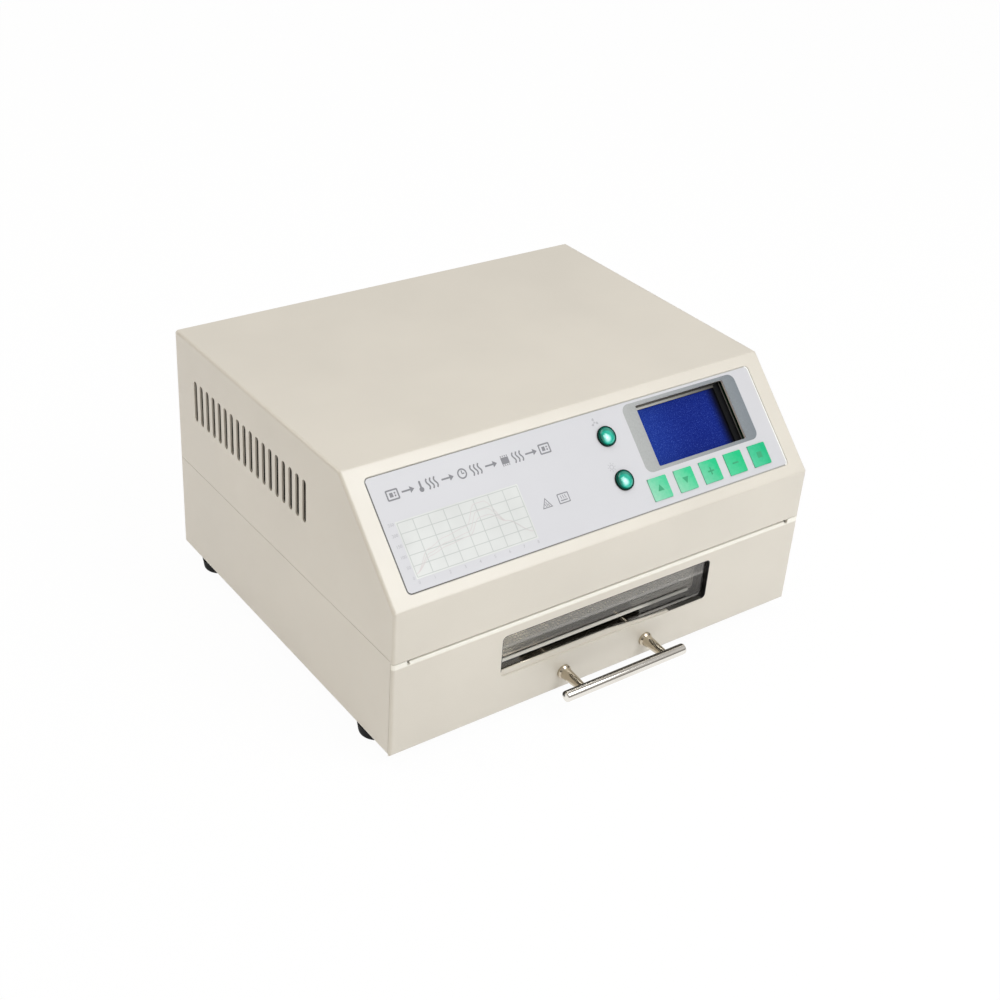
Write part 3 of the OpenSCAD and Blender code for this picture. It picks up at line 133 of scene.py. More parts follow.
def shade(c, k):
    """The same colour, lighter or darker by a factor."""
    return (c[0] * k, c[1] * k, c[2] * k, 1.0)


class Tree:
    """Shorthands for the nodes of a material or the world."""

    def __init__(self, owner):
        owner.use_nodes = True
        self.owner = owner
        self.nt = owner.node_tree

    def node(self, kind, **values):
        n = self.nt.nodes.new(kind)
        for key, value in values.items():
            setattr(n, key, value)
        return n

    def link(self, a, b):
        self.nt.links.new(a, b)

    def feed(self, value, socket):
        """Links an output to a socket, or sets the socket to a plain value."""
        if isinstance(value, (tuple, float, int)):
            socket.default_value = value
        else:
            self.link(value, socket)

    def calc(self, operation, *values, clamp=False):
        n = self.node("ShaderNodeMath", operation=operation, use_clamp=clamp)
        for value, socket in zip(values, n.inputs):
            self.feed(value, socket)
        return n.outputs[0]

    def part(self, vector, axis):
        split = self.node("ShaderNodeSeparateXYZ")
        self.link(vector, split.inputs["Vector"])
        return split.outputs[axis]

    def spread(self, value, lo, hi, soft=False):
        """0 to 1 as a value goes from lo to hi."""
        mr = self.node("ShaderNodeMapRange")
        if soft:
            mr.interpolation_type = "SMOOTHSTEP"
        mr.inputs["From Min"].default_value = lo
        mr.inputs["From Max"].default_value = hi
        self.link(value, mr.inputs["Value"])
        return mr.outputs["Result"]

    def ramp(self, fac, stops, constant=False):
        r = self.node("ShaderNodeValToRGB")
        if constant:
            r.color_ramp.interpolation = "CONSTANT"
        els = r.color_ramp.elements
        while len(els) < len(stops):
            els.new(0.5)
        for e, (pos, col) in zip(els, stops):
            e.position = pos
            e.color = col
        self.link(fac, r.inputs["Fac"])
        return r.outputs["Color"]

    def greys(self, fac, stops, constant=False):
        """Ramp of plain values."""
        return self.ramp(fac, [(pos, (v, v, v, 1)) for pos, v in stops], constant)

    def blend(self, fac, a, b, how="MIX"):
        """Mixes two colours."""
        mix = self.node("ShaderNodeMix", data_type="RGBA", blend_type=how)
        for k, v in ((0, fac), (6, a), (7, b)):
            self.feed(v, mix.inputs[k])
        return mix.outputs[2]

    def between(self, share, a, b):
        """Mixes two numbers."""
        mix = self.node("ShaderNodeMix", data_type="FLOAT")
        for k, v in ((0, share), (2, a), (3, b)):
            self.feed(v, mix.inputs[k])
        return mix.outputs[0]

    def either(self, fac, a, b):
        """Mixes two shaders."""
        mix = self.node("ShaderNodeMixShader")
        self.link(fac, mix.inputs["Fac"])
        self.link(a, mix.inputs[1])
        self.link(b, mix.inputs[2])
        return mix.outputs[0]

    def rays(self, *kinds):
        """1 for the kinds of ray named, such as Camera or Glossy."""
        path = self.node("ShaderNodeLightPath")
        found = path.outputs["Is %s Ray" % kinds[0]]
        for kind in kinds[1:]:
            found = self.calc("MAXIMUM", found, path.outputs["Is %s Ray" % kind])
        return found


class Mat(Tree):
    """A Principled material with a few more shorthands."""

    def __init__(self, name, color, rough=0.5, metal=0.0, **sockets):
        super().__init__(bpy.data.materials.new(name))
        self.p = self.nt.nodes["Principled BSDF"]
        self.p.inputs["Base Color"].default_value = color
        self.p.inputs["Roughness"].default_value = rough
        self.p.inputs["Metallic"].default_value = metal
        for key, value in sockets.items():
            self.p.inputs[key.replace("_", " ")].default_value = value

    def coords(self, scale=(1, 1, 1)):
        tc = self.node("ShaderNodeTexCoord")
        mp = self.node("ShaderNodeMapping")
        mp.inputs["Scale"].default_value = scale
        self.link(tc.outputs["Object"], mp.inputs["Vector"])
        return mp.outputs["Vector"]

    def along(self, axis, lo, hi, soft=False):
        """0 to 1 along an axis of the object, between two places in millimetres."""
        return self.spread(self.part(self.coords(), axis), lo * MM, hi * MM, soft)

    def away(self, x, v, height, lo, hi):
        """0 to 1 with the distance from a place of the panel, between two distances in millimetres."""
        far = self.node("ShaderNodeVectorMath", operation="DISTANCE")
        self.link(self.coords(), far.inputs[0])
        far.inputs[1].default_value = TO_M @ SLOPE @ Vector((x, v, height))
        return self.spread(far.outputs["Value"], lo * MM, hi * MM)

    def noise(self, scale, detail, stretch=(1, 1, 1)):
        n = self.node("ShaderNodeTexNoise")
        n.inputs["Scale"].default_value = scale
        n.inputs["Detail"].default_value = detail
        self.link(self.coords(stretch), n.inputs["Vector"])
        return n.outputs["Fac"]

    def paint(self, tone):
        self.link(tone, self.p.inputs["Base Color"])

    def color(self, fac, stops):
        self.paint(self.ramp(fac, stops))

    def rough(self, fac, lo, hi):
        mr = self.node("ShaderNodeMapRange")
        mr.inputs["To Min"].default_value = lo
        mr.inputs["To Max"].default_value = hi
        self.link(fac, mr.inputs["Value"])
        self.link(mr.outputs["Result"], self.p.inputs["Roughness"])

    def bump(self, fac, strength, distance):
        """Adds a bump over the ones there already."""
        b = self.node("ShaderNodeBump")
        b.inputs["Strength"].default_value = strength
        b.inputs["Distance"].default_value = distance
        self.link(fac, b.inputs["Height"])
        last = self.p.inputs["Normal"]
        if last.is_linked:
            self.link(last.links[0].from_socket, b.inputs["Normal"])
        self.link(b.outputs["Normal"], last)


def painted(name, color):
    """Powder paint: soft clouds of tone, an orange-peel bump and a satin coat."""
    m = Mat(name, color, rough=0.42, Coat_Weight=0.8, Coat_Roughness=0.34)
    m.color(m.noise(14, 4), [(0.3, shade(color, 0.965)), (0.7, shade(color, 1.02))])
    m.rough(m.noise(60, 3), 0.36, 0.5)
    m.bump(m.noise(1500, 2), 0.16, 0.00012)
    m.bump(m.noise(420, 2), 0.10, 0.0002)
    return m


def metal(name, color, rough, brush=(1, 1, 1), streak=0.05, depth=0.06):
    """Bare metal, brushed along an axis where brush is below 1."""
    m = Mat(name, color, rough=rough, metal=1.0)
    lines = m.noise(1200, 3, brush)
    m.color(m.noise(26, 4), [(0.3, shade(color, 0.93)), (0.7, color)])
    m.rough(lines, rough - streak, rough + streak)
    if depth:
        m.bump(lines, depth, 0.00003)
    return m


def polished(name, color):
    """Bare metal without brush lines."""
    return metal(name, color, 0.13, streak=0.004, depth=0)


def moulded(name, color, rough=0.45, grain=900, depth=0.12, **sockets):
    """Plastic, rubber, print or fibre, by its roughness and grain."""
    m = Mat(name, color, rough=rough, **sockets)
    m.color(m.noise(30, 3), [(0.3, shade(color, 0.92)), (0.7, shade(color, 1.06))])
    m.rough(m.noise(200, 2), rough - 0.05, rough + 0.05)
    m.bump(m.noise(grain, 2), depth, 0.0001)
    return m


def glassy(name, color, rough, ior):
    """Clear glass, a little uneven in its gloss."""
    m = Mat(name, color, rough=rough, Transmission_Weight=1.0, IOR=ior)
    m.rough(m.noise(40, 2), rough * 0.7, rough * 1.6)
    return m


def faded(name, lo, hi, first, last, rough=0.5):
    """Colour that changes evenly across the case, between two places in millimetres, for painted light and shade
    along x.
    """
    m = Mat(name, first, rough=rough, Specular_IOR_Level=0.3)
    grain = m.greys(m.noise(900, 2), [(0.3, 0.94), (0.7, 1.04)])
    m.paint(m.blend(1.0, m.blend(m.along("X", lo, hi), first, last), grain, "MULTIPLY"))
    return m


def mirroring(m, share):
    """Makes a material a clear sheet that mirrors by the share, more at a low angle."""
    clear = m.node("ShaderNodeBsdfTransparent")
    clear.inputs["Color"].default_value = (0.97, 0.965, 0.95, 1)
    mirror = m.node("ShaderNodeBsdfGlossy")
    mirror.inputs["Color"].default_value = (1.0, 0.972, 0.935, 1)
    mirror.inputs["Roughness"].default_value = 0.012
    facing = m.node("ShaderNodeLayerWeight")
    facing.inputs["Blend"].default_value = 0.5
    fac = m.calc("MULTIPLY", facing.outputs["Facing"], share, clamp=True)
    sheet = m.either(fac, clear.outputs[0], mirror.outputs[0])
    m.link(sheet, m.nt.nodes["Material Output"].inputs["Surface"])
    return m


def pane_material():
    """Clear panes that mirror faintly on the back of each sheet."""
    m = Mat("window_glass", (0.9, 0.92, 0.92, 1), rough=0.02)
    reach = 14
    shares = [(0, 0), (5, 0.2), (7, 0), (11.5, 0.06)]  # depth, and the share from there on
    depth = m.along("Y", FRONT_Y, FRONT_Y + reach)
    return mirroring(m, m.greys(depth, [(y / reach, share) for y, share in shares], True))


def film_material():
    """Film before the panes, its mirroring set in bands over the height as painted reflection and shade, and
    weaker at both ends as painted shade.
    """
    m = Mat("window_film", (0.9, 0.92, 0.92, 1), rough=0.02)
    z0, z1 = 27.0, 57.0
    # Mirroring share by height: its bands are painted reflection and shade
    shares = [(z0, 0.30), (30.2, 0.30), (31.0, 0.11), (36.4, 0.11), (38.2, 0.13), (39.4, 0.14),
              (45.2, 0.16), (46.0, 0.44), (47.2, 0.42), (48.2, 0.28), (z1, 0.28)]
    height = m.greys(m.along("Z", FOOT_H + z0, FOOT_H + z1),
                     [((z - z0) / (z1 - z0), share) for z, share in shares])
    # Weaker mirroring at both ends, most at the right: painted shade
    side = m.greys(m.along("X", -WINDOW_W / 2, WINDOW_W / 2),
                   [(0.0, 0.86), (0.6, 1.0), (0.9, 1.0), (0.925, 0.84), (1.0, 0.72)])
    return mirroring(m, m.calc("MULTIPLY", height, side))


def overlay_material():
    """Printed film: pale grey, fine satin grain."""
    m = Mat("overlay", srgb(203, 203, 208), rough=0.4)
    m.color(m.noise(9, 3), [(0.3, srgb(201, 201, 206)), (0.7, srgb(205, 205, 210))])
    m.bump(m.noise(2600, 2), 0.12, 0.00006)
    return m


def display_material():
    """Lit blue graphic display with fine dots, paler on its left, with painted shade darkening its right edge."""
    m = Mat("display", srgb(16, 30, 110), rough=0.55, Specular_IOR_Level=0.05)
    dots = m.ramp(m.noise(2100, 2), [(0.34, srgb(6, 26, 108)), (0.58, srgb(22, 50, 142)),
                                     (0.68, srgb(76, 100, 184))])
    across = m.along("X", DISPLAY_X - 34, DISPLAY_X + 4, True)
    lit = m.blend(0.5, dots, m.blend(across, srgb(34, 62, 154), srgb(10, 28, 118)))
    # Painted shade darkening the display's right edge
    edge = m.along("X", DISPLAY_X + 23, DISPLAY_X + 31.5, True)
    m.paint(m.blend(edge, lit, srgb(4, 5, 22)))
    return m


def lens_material(name, v):
    """Domed green lens at a height of the panel, with a painted highlight low in it and painted shade along its
    left.
    """
    m = Mat(name, srgb(22, 182, 158), rough=0.14, Coat_Weight=1.0, Coat_Roughness=0.03)
    # Painted highlight: palest round a spot low in the lens, roughened by noise
    grain = m.calc("MULTIPLY_ADD", m.noise(420, 2), 0.1, m.away(BUTTON_X - 1.0, v - 1.8, 2.2, 0, 6))
    tone = m.ramp(grain, [(0.2, srgb(196, 246, 242)), (0.36, srgb(120, 224, 210)),
                          (0.5, srgb(20, 180, 156)), (0.8, srgb(6, 176, 150)), (1.0, srgb(0, 132, 112))])
    # Painted shade along the lens's left side
    side = m.along("X", BUTTON_X - 5.2, BUTTON_X - 2.6, True)
    m.paint(m.blend(side, srgb(0, 84, 70), tone))
    return m


def ring_material(name, v):
    """Ring of a push button, teal inside and nearly black outside."""
    m = Mat(name, srgb(4, 44, 34), rough=0.45, Specular_IOR_Level=0.06)
    m.color(m.away(BUTTON_X, v, 1.0, 5.3, 6.3), [(0.25, srgb(0, 104, 88)), (0.6, srgb(0, 30, 24))])
    m.bump(m.noise(500, 2), 0.04, 0.0001)
    return m


def key_material(name, x, pale, deep):
    """Green key at a place of its row, with a painted highlight towards its lower left corner."""
    m = Mat(name, deep, rough=0.5, Specular_IOR_Level=0.25)
    z = (SLOPE @ Vector((0, -KEY_DROP, 0))).z
    # Painted highlight, palest towards the key's lower left corner
    corner = m.between(0.4, m.along("X", x - 6, x + 6), m.along("Z", z - 5, z + 5))
    m.color(m.between(0.3, corner, m.noise(500, 2)), [(0.2, pale), (0.75, deep)])
    m.bump(m.noise(1800, 2), 0.1, 0.00006)
    return m


def front_paint():
    """The case's paint, with a painted highlight where the drawer front's upper edge is bent."""
    m = painted("front_paint", CREAM)
    top = FOOT_H + DRAWER_TOP
    paint = m.p.inputs["Base Color"].links[0].from_socket
    # Painted highlight along the bend of the drawer front's upper edge
    m.paint(m.blend(m.along("Z", top - 2.6, top - 1.2, True), paint, srgb(243, 240, 231)))
    return m


def bar_material(y, z):
    """Polished bar round a line along x, with a painted dark reflection high at the back."""
    m = Mat("handle_bar", srgb(236, 231, 223), rough=0.14, metal=1.0)
    m.rough(m.noise(12, 2), 0.13, 0.15)
    tone = m.ramp(m.noise(40, 3), [(0.3, srgb(230, 225, 217)), (0.7, srgb(238, 234, 227))])
    # Painted dark reflection on the bar's upper back
    behind = m.calc("MULTIPLY", m.along("Y", y - 0.6, y + 0.9, True), m.along("Z", z - 1.0, z + 0.6, True))
    m.paint(m.blend(behind, tone, srgb(44, 41, 37)))
    return m


CREAM = srgb(215, 209, 198)
SLOT_FINISH = {
    "case_paint": painted("case_paint", CREAM),
    "overlay": overlay_material(),
    "display": display_material(),
    "window_glass": pane_material(),
    "bright_steel": metal("bright_steel", srgb(205, 206, 208), 0.24),
    "sheet_steel": metal("sheet_steel", srgb(178, 180, 182), 0.36, (1, 0.05, 1), 0.07),
    "tray_steel": metal("tray_steel", srgb(190, 190, 187), 0.38),
    "dark_steel": metal("dark_steel", srgb(66, 64, 62), 0.42),
    "handle_metal": polished("handle_metal", srgb(232, 227, 218)),
    "foot_rubber": moulded("foot_rubber", srgb(12, 12, 13), 0.7, 700, 0.2, Specular_IOR_Level=0.2),
    "circuit_board": moulded("circuit_board", srgb(34, 92, 56), 0.35),
    "black_plastic": moulded("black_plastic", srgb(30, 30, 32), 0.48),
    "reflector": metal("reflector", srgb(222, 223, 222), 0.12),
    "fibre": moulded("fibre", srgb(226, 222, 210), 0.95, 300, 0.8),
    "quartz": glassy("quartz", (0.93, 0.94, 0.95, 1.0), 0.04, 1.46),
    "ceramic": moulded("ceramic", srgb(232, 227, 212), 0.7, 600, 0.2),
    "lamp_glass": glassy("lamp_glass", (0.98, 0.96, 0.9, 1.0), 0.03, 1.5),
    "transformer": moulded("transformer", srgb(92, 84, 74), 0.5, 300, 0.4),
    "heatsink": metal("heatsink", srgb(176, 178, 180), 0.4),
    "terminal": moulded("terminal", srgb(222, 217, 204), 0.5),
    "brass": metal("brass", srgb(205, 168, 92), 0.3),
    "rocker": moulded("rocker", srgb(28, 28, 30), 0.3, 500, 0.06),
}


def key_x(number):
    """Place of a key, counted from 1 at the left."""
    return DISPLAY_X + (number - 3) * KEY_PITCH


NODE_FINISH = {
    "drawer_front": front_paint(),
    "lcd_frame": moulded("bezel_black", srgb(10, 10, 12), 0.6, 900, 0.05, Specular_IOR_Level=0.15),
    # The posts get a darker, browner copy of the handle's metal: painted shade
    "handle_posts": polished("post_metal", srgb(200, 189, 170)),
    "fan_button": lens_material("button_lens", UPPER_V),
    "lamp_button": lens_material("button_lens_lower", LOWER_V),
    "fan_switch_body": ring_material("button_ring_upper", UPPER_V),
    "lamp_switch_body": ring_material("button_ring_lower", LOWER_V),
}
for number, (pale, deep) in enumerate(KEY_TONES, 1):
    NODE_FINISH["key_%d" % number] = key_material("key_green_%d" % number, key_x(number), srgb(*pale), srgb(*deep))

INK = moulded("ink", srgb(128, 128, 134), 0.5)
FAINT_INK = moulded("faint_ink", srgb(176, 176, 182), 0.5)
GRID_INK = moulded("grid_ink", srgb(188, 192, 191), 0.5)
CURVE_INK = moulded("curve_ink", srgb(206, 199, 200), 0.5)
KEY_INK = moulded("key_ink", srgb(38, 160, 112), 0.45)
CHART_WHITE = moulded("chart_white", srgb(211, 213, 212), 0.42, 900, 0.04)
# Painted shade along the overlay's lower, left and upper edges, paler towards the right, and a painted highlight
# along its right edge
EDGE_DARK = faded("edge_dark", -143, 143, srgb(96, 95, 91), srgb(170, 170, 168))
EDGE_TOP = faded("edge_top", -143, 143, srgb(128, 127, 122), srgb(196, 196, 194))
EDGE_WHITE = moulded("edge_white", srgb(240, 240, 237), 0.4, 900, 0.05)
# Grey print round the display, with painted shade darkening it towards the right
BORDER = faded("display_border", 38, 130, srgb(169, 171, 171), srgb(122, 129, 136), 0.42)
# Painted highlight and painted shade on the display's metal frame, both dimming towards the right, and a painted
# highlight line round the screen
BEZEL_HIGHLIGHT = faded("bezel_painted_highlight", 46, 118, srgb(206, 205, 199), srgb(64, 60, 54))
BEZEL_SHADE = faded("bezel_painted_shade", 46, 118, srgb(122, 119, 112), srgb(44, 42, 38))
RIM_HIGHLIGHT = moulded("rim_painted_highlight", srgb(124, 124, 122), 0.5, 900, 0.05)
GASKET = moulded("gasket", srgb(14, 14, 14), 0.35, 700, 0.08)
# Painted shade on the window's lower edge, darkening towards the right
SILL_SHADE = faded("sill_painted_shade", 8, 60, srgb(150, 147, 140), srgb(62, 60, 56))
# Painted reflection lines across the window, paler at the left
REFLECTION_LINE = faded("reflection_line", 25, 36, srgb(200, 197, 190), srgb(142, 140, 135), 0.35)
REFLECTION_LINE_LOWER = faded("reflection_line_lower", 28, 66, srgb(138, 135, 130), srgb(118, 116, 112), 0.4)
TRAY_RIM = moulded("tray_rim", srgb(128, 126, 122), 0.4, 600, 0.05)
# Dark sheet behind the vents, painted shade for the insides of the slots
VENT_SHADE = moulded("vent_shade", srgb(34, 28, 23), 0.9, 400, 0.3, Specular_IOR_Level=0.1)


# ------------------------------------------------------------------- shapes

def coat(obj, mat):
    """Gives an object one material."""
    obj.data.materials.clear()
    obj.data.materials.append(mat.owner)


def smooth(obj, angle):
    """Smooth shading, with hard edges above an angle in degrees."""
    for poly in obj.data.polygons:
        poly.use_smooth = True
    obj.modifiers.new("edges", "EDGE_SPLIT").split_angle = math.radians(angle)


def place_in_scene(obj):
    bpy.context.scene.collection.objects.link(obj)
    return obj


def piece(name, mesh, mat, body, rounded=False):
    """Object that rides on a body; a rounded one is shaded smooth."""
    obj = place_in_scene(bpy.data.objects.new(name, mesh))
    coat(obj, mat)
    if rounded:
        smooth(obj, PIECE_CREASE)
    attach(obj, body)
    return obj


def mesh_of(verts, faces):
    """Checked mesh of places and faces."""
    mesh = bpy.data.meshes.new("mesh")
    mesh.from_pydata([tuple(v) for v in verts], [], faces)
    mesh.validate()
    mesh.update()
    return mesh


def curve_mesh(cu, place):
    """Mesh of a curve or text, which is removed, put in a frame of millimetres."""
    tmp = place_in_scene(bpy.data.objects.new("tmp", cu))
    bpy.context.view_layer.update()
    dg = bpy.context.evaluated_depsgraph_get()
    mesh = bpy.data.meshes.new_from_object(tmp.evaluated_get(dg))
    bpy.data.objects.remove(tmp)
    bpy.data.curves.remove(cu)
    mesh.transform(TO_M @ place)
    return mesh


def slab_mesh(loops, z0, z1, place):
    """Plate with the outlines given, holes included, between two heights of a frame."""
    cu = bpy.data.curves.new("slab", "CURVE")
    cu.dimensions = "2D"
    cu.fill_mode = "BOTH"
    cu.extrude = (z1 - z0) / 2
    for loop in loops:
        sp = cu.splines.new("POLY")
        sp.points.add(len(loop) - 1)
        for p, q in zip(sp.points, loop):
            p.co = (q[0], q[1], 0, 1)
        sp.use_cyclic_u = True
    return curve_mesh(cu, place @ at(0, 0, (z0 + z1) / 2))


def digit_mesh(text, x, v, align):
    """Digits printed on the overlay."""
    cu = bpy.data.curves.new("digits", "FONT")
    cu.body = text
    cu.size = DIGIT_SIZE
    cu.align_x = align
    cu.align_y = "CENTER"
    cu.extrude = LAYER / 2
    cu.resolution_u = 3
    return curve_mesh(cu, SLOPE @ at(x, v, OVERLAY_TOP + LAYER / 2))


def joined(meshes):
    """One mesh of several, which are removed."""
    verts, faces = [], []
    for m in meshes:
        base = len(verts)
        verts += [v.co.copy() for v in m.vertices]
        faces += [[base + i for i in p.vertices] for p in m.polygons]
        bpy.data.meshes.remove(m)
    return mesh_of(verts, faces)


def lathe(profile, sides=48):
    """Body of revolution about x from pairs of place and radius."""
    verts, faces = [], []
    turns = [2 * math.pi * k / sides for k in range(sides)]
    for x, r in profile:
        verts += [(x, r * math.cos(a), r * math.sin(a)) for a in turns]
    for i in range(len(profile) - 1):
        for k in range(sides):
            a, b = i * sides + k, i * sides + (k + 1) % sides
            faces.append([a, b, b + sides, a + sides])
    faces.append(list(range(sides))[::-1])
    faces.append([len(verts) - sides + k for k in range(sides)])
    return mesh_of(verts, faces)


def woven_mesh(x0, x1, y0, y1, z, pitch, wire):
    """Plain weave of wires in the case's frame, waves crossing over and under."""
    verts, faces = [], []
    sides = 4
    nx = int((x1 - x0) / pitch)
    ny = int((y1 - y0) / pitch)
    upward = Vector((0, 0, 1))

    def height(i, j):
        return z + wire * (0.5 if (i + j) % 2 else -0.5)

    def add(points, across):
        base = len(verts)
        for p in points:
            for k in range(sides):
                a = math.pi / 4 + 2 * math.pi * k / sides
                verts.append(Vector(p) + (Vector(across) * math.cos(a) + upward * math.sin(a)) * wire / 2)
        for i in range(len(points) - 1):
            for k in range(sides):
                a, b = base + i * sides + k, base + i * sides + (k + 1) % sides
                faces.append([a, b, b + sides, a + sides])

    for i in range(nx + 1):
        x = x0 + (x1 - x0) * i / nx
        add([(x, y0 + (y1 - y0) * (j + 0.5) / ny, height(i, j)) for j in range(ny)], (1, 0, 0))
    for j in range(ny + 1):
        y = y0 + (y1 - y0) * j / ny
        add([(x0 + (x1 - x0) * (i + 0.5) / nx, y, height(i, j)) for i in range(nx)], (0, 1, 0))
    mesh = mesh_of(verts, faces)
    mesh.transform(TO_M @ CASE)
    return mesh


def turned(a, r=1.0):
    """Point at an angle in degrees and a radius."""
    return (r * math.cos(math.radians(a)), r * math.sin(math.radians(a)))


def arc(cx, cy, r, a, b, n=8):
    """Points of an arc between two angles in degrees."""
    steps = [turned(a + (b - a) * i / n, r) for i in range(n + 1)]
    return [(cx + x, cy + y) for x, y in steps]


def rect(x0, y0, x1, y1, r=0.0):
    """Rectangle between two corners, rounded by a radius."""
    if r <= 0:
        return [(x0, y0), (x1, y0), (x1, y1), (x0, y1)]
    return (arc(x1 - r, y1 - r, r, 0, 90) + arc(x0 + r, y1 - r, r, 90, 180)
            + arc(x0 + r, y0 + r, r, 180, 270) + arc(x1 - r, y0 + r, r, 270, 360))


def centred(cx, cy, half_w, half_h, r=0.0):
    """Rectangle round a middle."""
    return rect(cx - half_w, cy - half_h, cx + half_w, cy + half_h, r)


def ring(cx, cy, r, w, n=28):
    """Two circles round a line of width w."""
    return [arc(cx, cy, r + w / 2, 0, 360, n)[:-1], arc(cx, cy, r - w / 2, 0, 360, n)[:-1]]


def strip(points, width):
    """Outline of a stroke of even width along points."""
    left, right = [], []
    for i, p in enumerate(points):
        a = Vector(points[max(i - 1, 0)])
        b = Vector(points[min(i + 1, len(points) - 1)])
        d = (b - a).normalized()
        n = Vector((-d.y, d.x)) * width / 2
        left.append(tuple(Vector(p) + n))
        right.append(tuple(Vector(p) - n))
    return left + right[::-1]


def wave(x, v, rise, swing, width, n):
    """One rising heat wave."""
    path = [(x + swing * math.sin(i / n * 2 * math.pi), v + rise * i / n) for i in range(n + 1)]
    return strip(path, width)


for row in frame["record"]["subparts"]:
    name = row["node"]
    coat(frame["nodes"][name], NODE_FINISH.get(name) or SLOT_FINISH[row["material_slot"]])
for node in frame["nodes"].values():
    smooth(node, NODE_CREASE)


# ------------------------------------------------------------ printed panel

def printed(name, loops, mat, level=0):
    """Print on the overlay; a level lifts it by the thickness of one layer."""
    z = OVERLAY_TOP + level * LAYER
    piece(name, slab_mesh(loops, z, z + LAYER, SLOPE), mat, "housing")


printed("display_border", [rect(*BORDER_BOX, 5), centred(CUTOUT_X, DISPLAY_V, CUTOUT_W / 2, CUTOUT_H / 2, 1)],
        BORDER)


def chart_x(share):
    """Place across the chart, by its share of the width."""
    return CHART_X0 + (CHART_X1 - CHART_X0) * share


def chart_v(share):
    """Place up the chart, by its share of the height."""
    return CHART_V0 + (CHART_V1 - CHART_V0) * share


def soldering_profile(t, peak, soak):
    """Generic soldering profile: ramp, soak, peak and cooling, each 0 to 1."""
    knots = [(0, 0.06), (0.16, soak * 0.8), (0.30, soak), (0.50, soak * 1.12), (0.62, peak), (0.70, peak),
             (0.82, 0.45), (1.0, 0.12)]
    for (a, fa), (b, fb) in zip(knots, knots[1:]):
        if t <= b:
            s = (t - a) / (b - a)
            s = s * s * (3 - 2 * s)
            return fa + (fb - fa) * s
    return knots[-1][1]


col_shares = [i / CHART_COLS for i in range(CHART_COLS + 1)]
row_shares = [j / CHART_ROWS for j in range(CHART_ROWS + 1)]
printed("chart_ground", [rect(CHART_X0 - CHART_MARGIN, CHART_V0 - CHART_MARGIN,
                              CHART_X1 + CHART_MARGIN, CHART_V1 + CHART_MARGIN)], CHART_WHITE)
columns = [rect(chart_x(s) - COL_LINE / 2, CHART_V0, chart_x(s) + COL_LINE / 2, CHART_V1) for s in col_shares]
printed("chart_columns", columns, GRID_INK, 1)
rows = [rect(CHART_X0, chart_v(s) - ROW_LINE / 2, CHART_X1, chart_v(s) + ROW_LINE / 2) for s in row_shares]
printed("chart_rows", rows, GRID_INK, 1.4)
curve_steps = [k / CURVE_STEPS for k in range(CURVE_STEPS + 1)]
for i, (peak, soak) in enumerate(CURVES):
    curve = [(chart_x(t), chart_v(soldering_profile(t, peak, soak))) for t in curve_steps]
    printed("chart_curve_%d" % i, [strip(curve, CURVE_LINE)], CURVE_INK, 2 + 0.2 * i)
digits = [digit_mesh(str(50 * j), CHART_X0 - 1.8, chart_v(s), "RIGHT") for j, s in enumerate(row_shares)]
digits += [digit_mesh(str(i), chart_x(s), CHART_V0 - 3.0, "CENTER") for i, s in enumerate(col_shares)]
piece("chart_numbers", joined(digits), FAINT_INK, "housing")


def pictograms():
    """Generic row over the chart: board, thermometer, heat, clock, heat, chip, heat and board, with arrows."""
    v, h = ROW_V, ROW_H

    def chip(cx):
        out = [centred(cx, v, 2.6, 2.0)]
        for k in range(4):
            px = cx - 2.1 + 1.4 * k
            out.append(rect(px - 0.3, v + 2.3, px + 0.3, v + h / 2))
            out.append(rect(px - 0.3, v - h / 2, px + 0.3, v - 2.3))
        return out

    def waves(cx):
        return [wave(cx + 2.6 * k, v - h / 2, h, 0.75, 0.95, 14) for k in (-1, 0, 1)]

    def arrow(cx):
        return [[(cx - 4, v - 0.5), (cx + 1.4, v - 0.5), (cx + 1.4, v - 2.0), (cx + 4.2, v),
                 (cx + 1.4, v + 2.0), (cx + 1.4, v + 0.5), (cx - 4, v + 0.5)]]

    def clock(cx):
        hands = [rect(cx - 0.35, v - 0.35, cx + 0.35, v + 1.9), rect(cx + 0.45, v - 0.35, cx + 1.5, v + 0.35)]
        return ring(cx, v, 2.7, 0.9) + hands

    def thermometer(cx):
        bulb, end = arc(cx, v - 1.9, 1.5, 115, 425, 14), arc(cx, v + 2.6, 0.62, 0, 180, 6)
        return [bulb + [(cx + 0.62, v + 2.6)] + end + [(cx - 0.62, v - 0.5)]]

    def board(cx):
        return [centred(cx, v, 4, h / 2, 0.8), centred(cx, v, 3.1, h / 2 - 0.9, 0.3),
                rect(cx - 1.9, v - 1.3, cx + 0.3, v + 1.3), rect(cx + 1.1, v - 1.3, cx + 2.1, v - 0.3),
                rect(cx + 1.1, v + 0.3, cx + 2.1, v + 1.3)]

    row = [(board, 4), (arrow, 14), (thermometer, 22.5), (waves, 30), (arrow, 40.5), (clock, 50.5),
           (waves, 60), (arrow, 70.5), (chip, 80.5), (waves, 89.5), (arrow, 99), (board, 109)]
    return [loop for draw, x in row for loop in draw(ROW_X + x * ROW_STRETCH)]


printed("process_pictograms", pictograms(), INK)

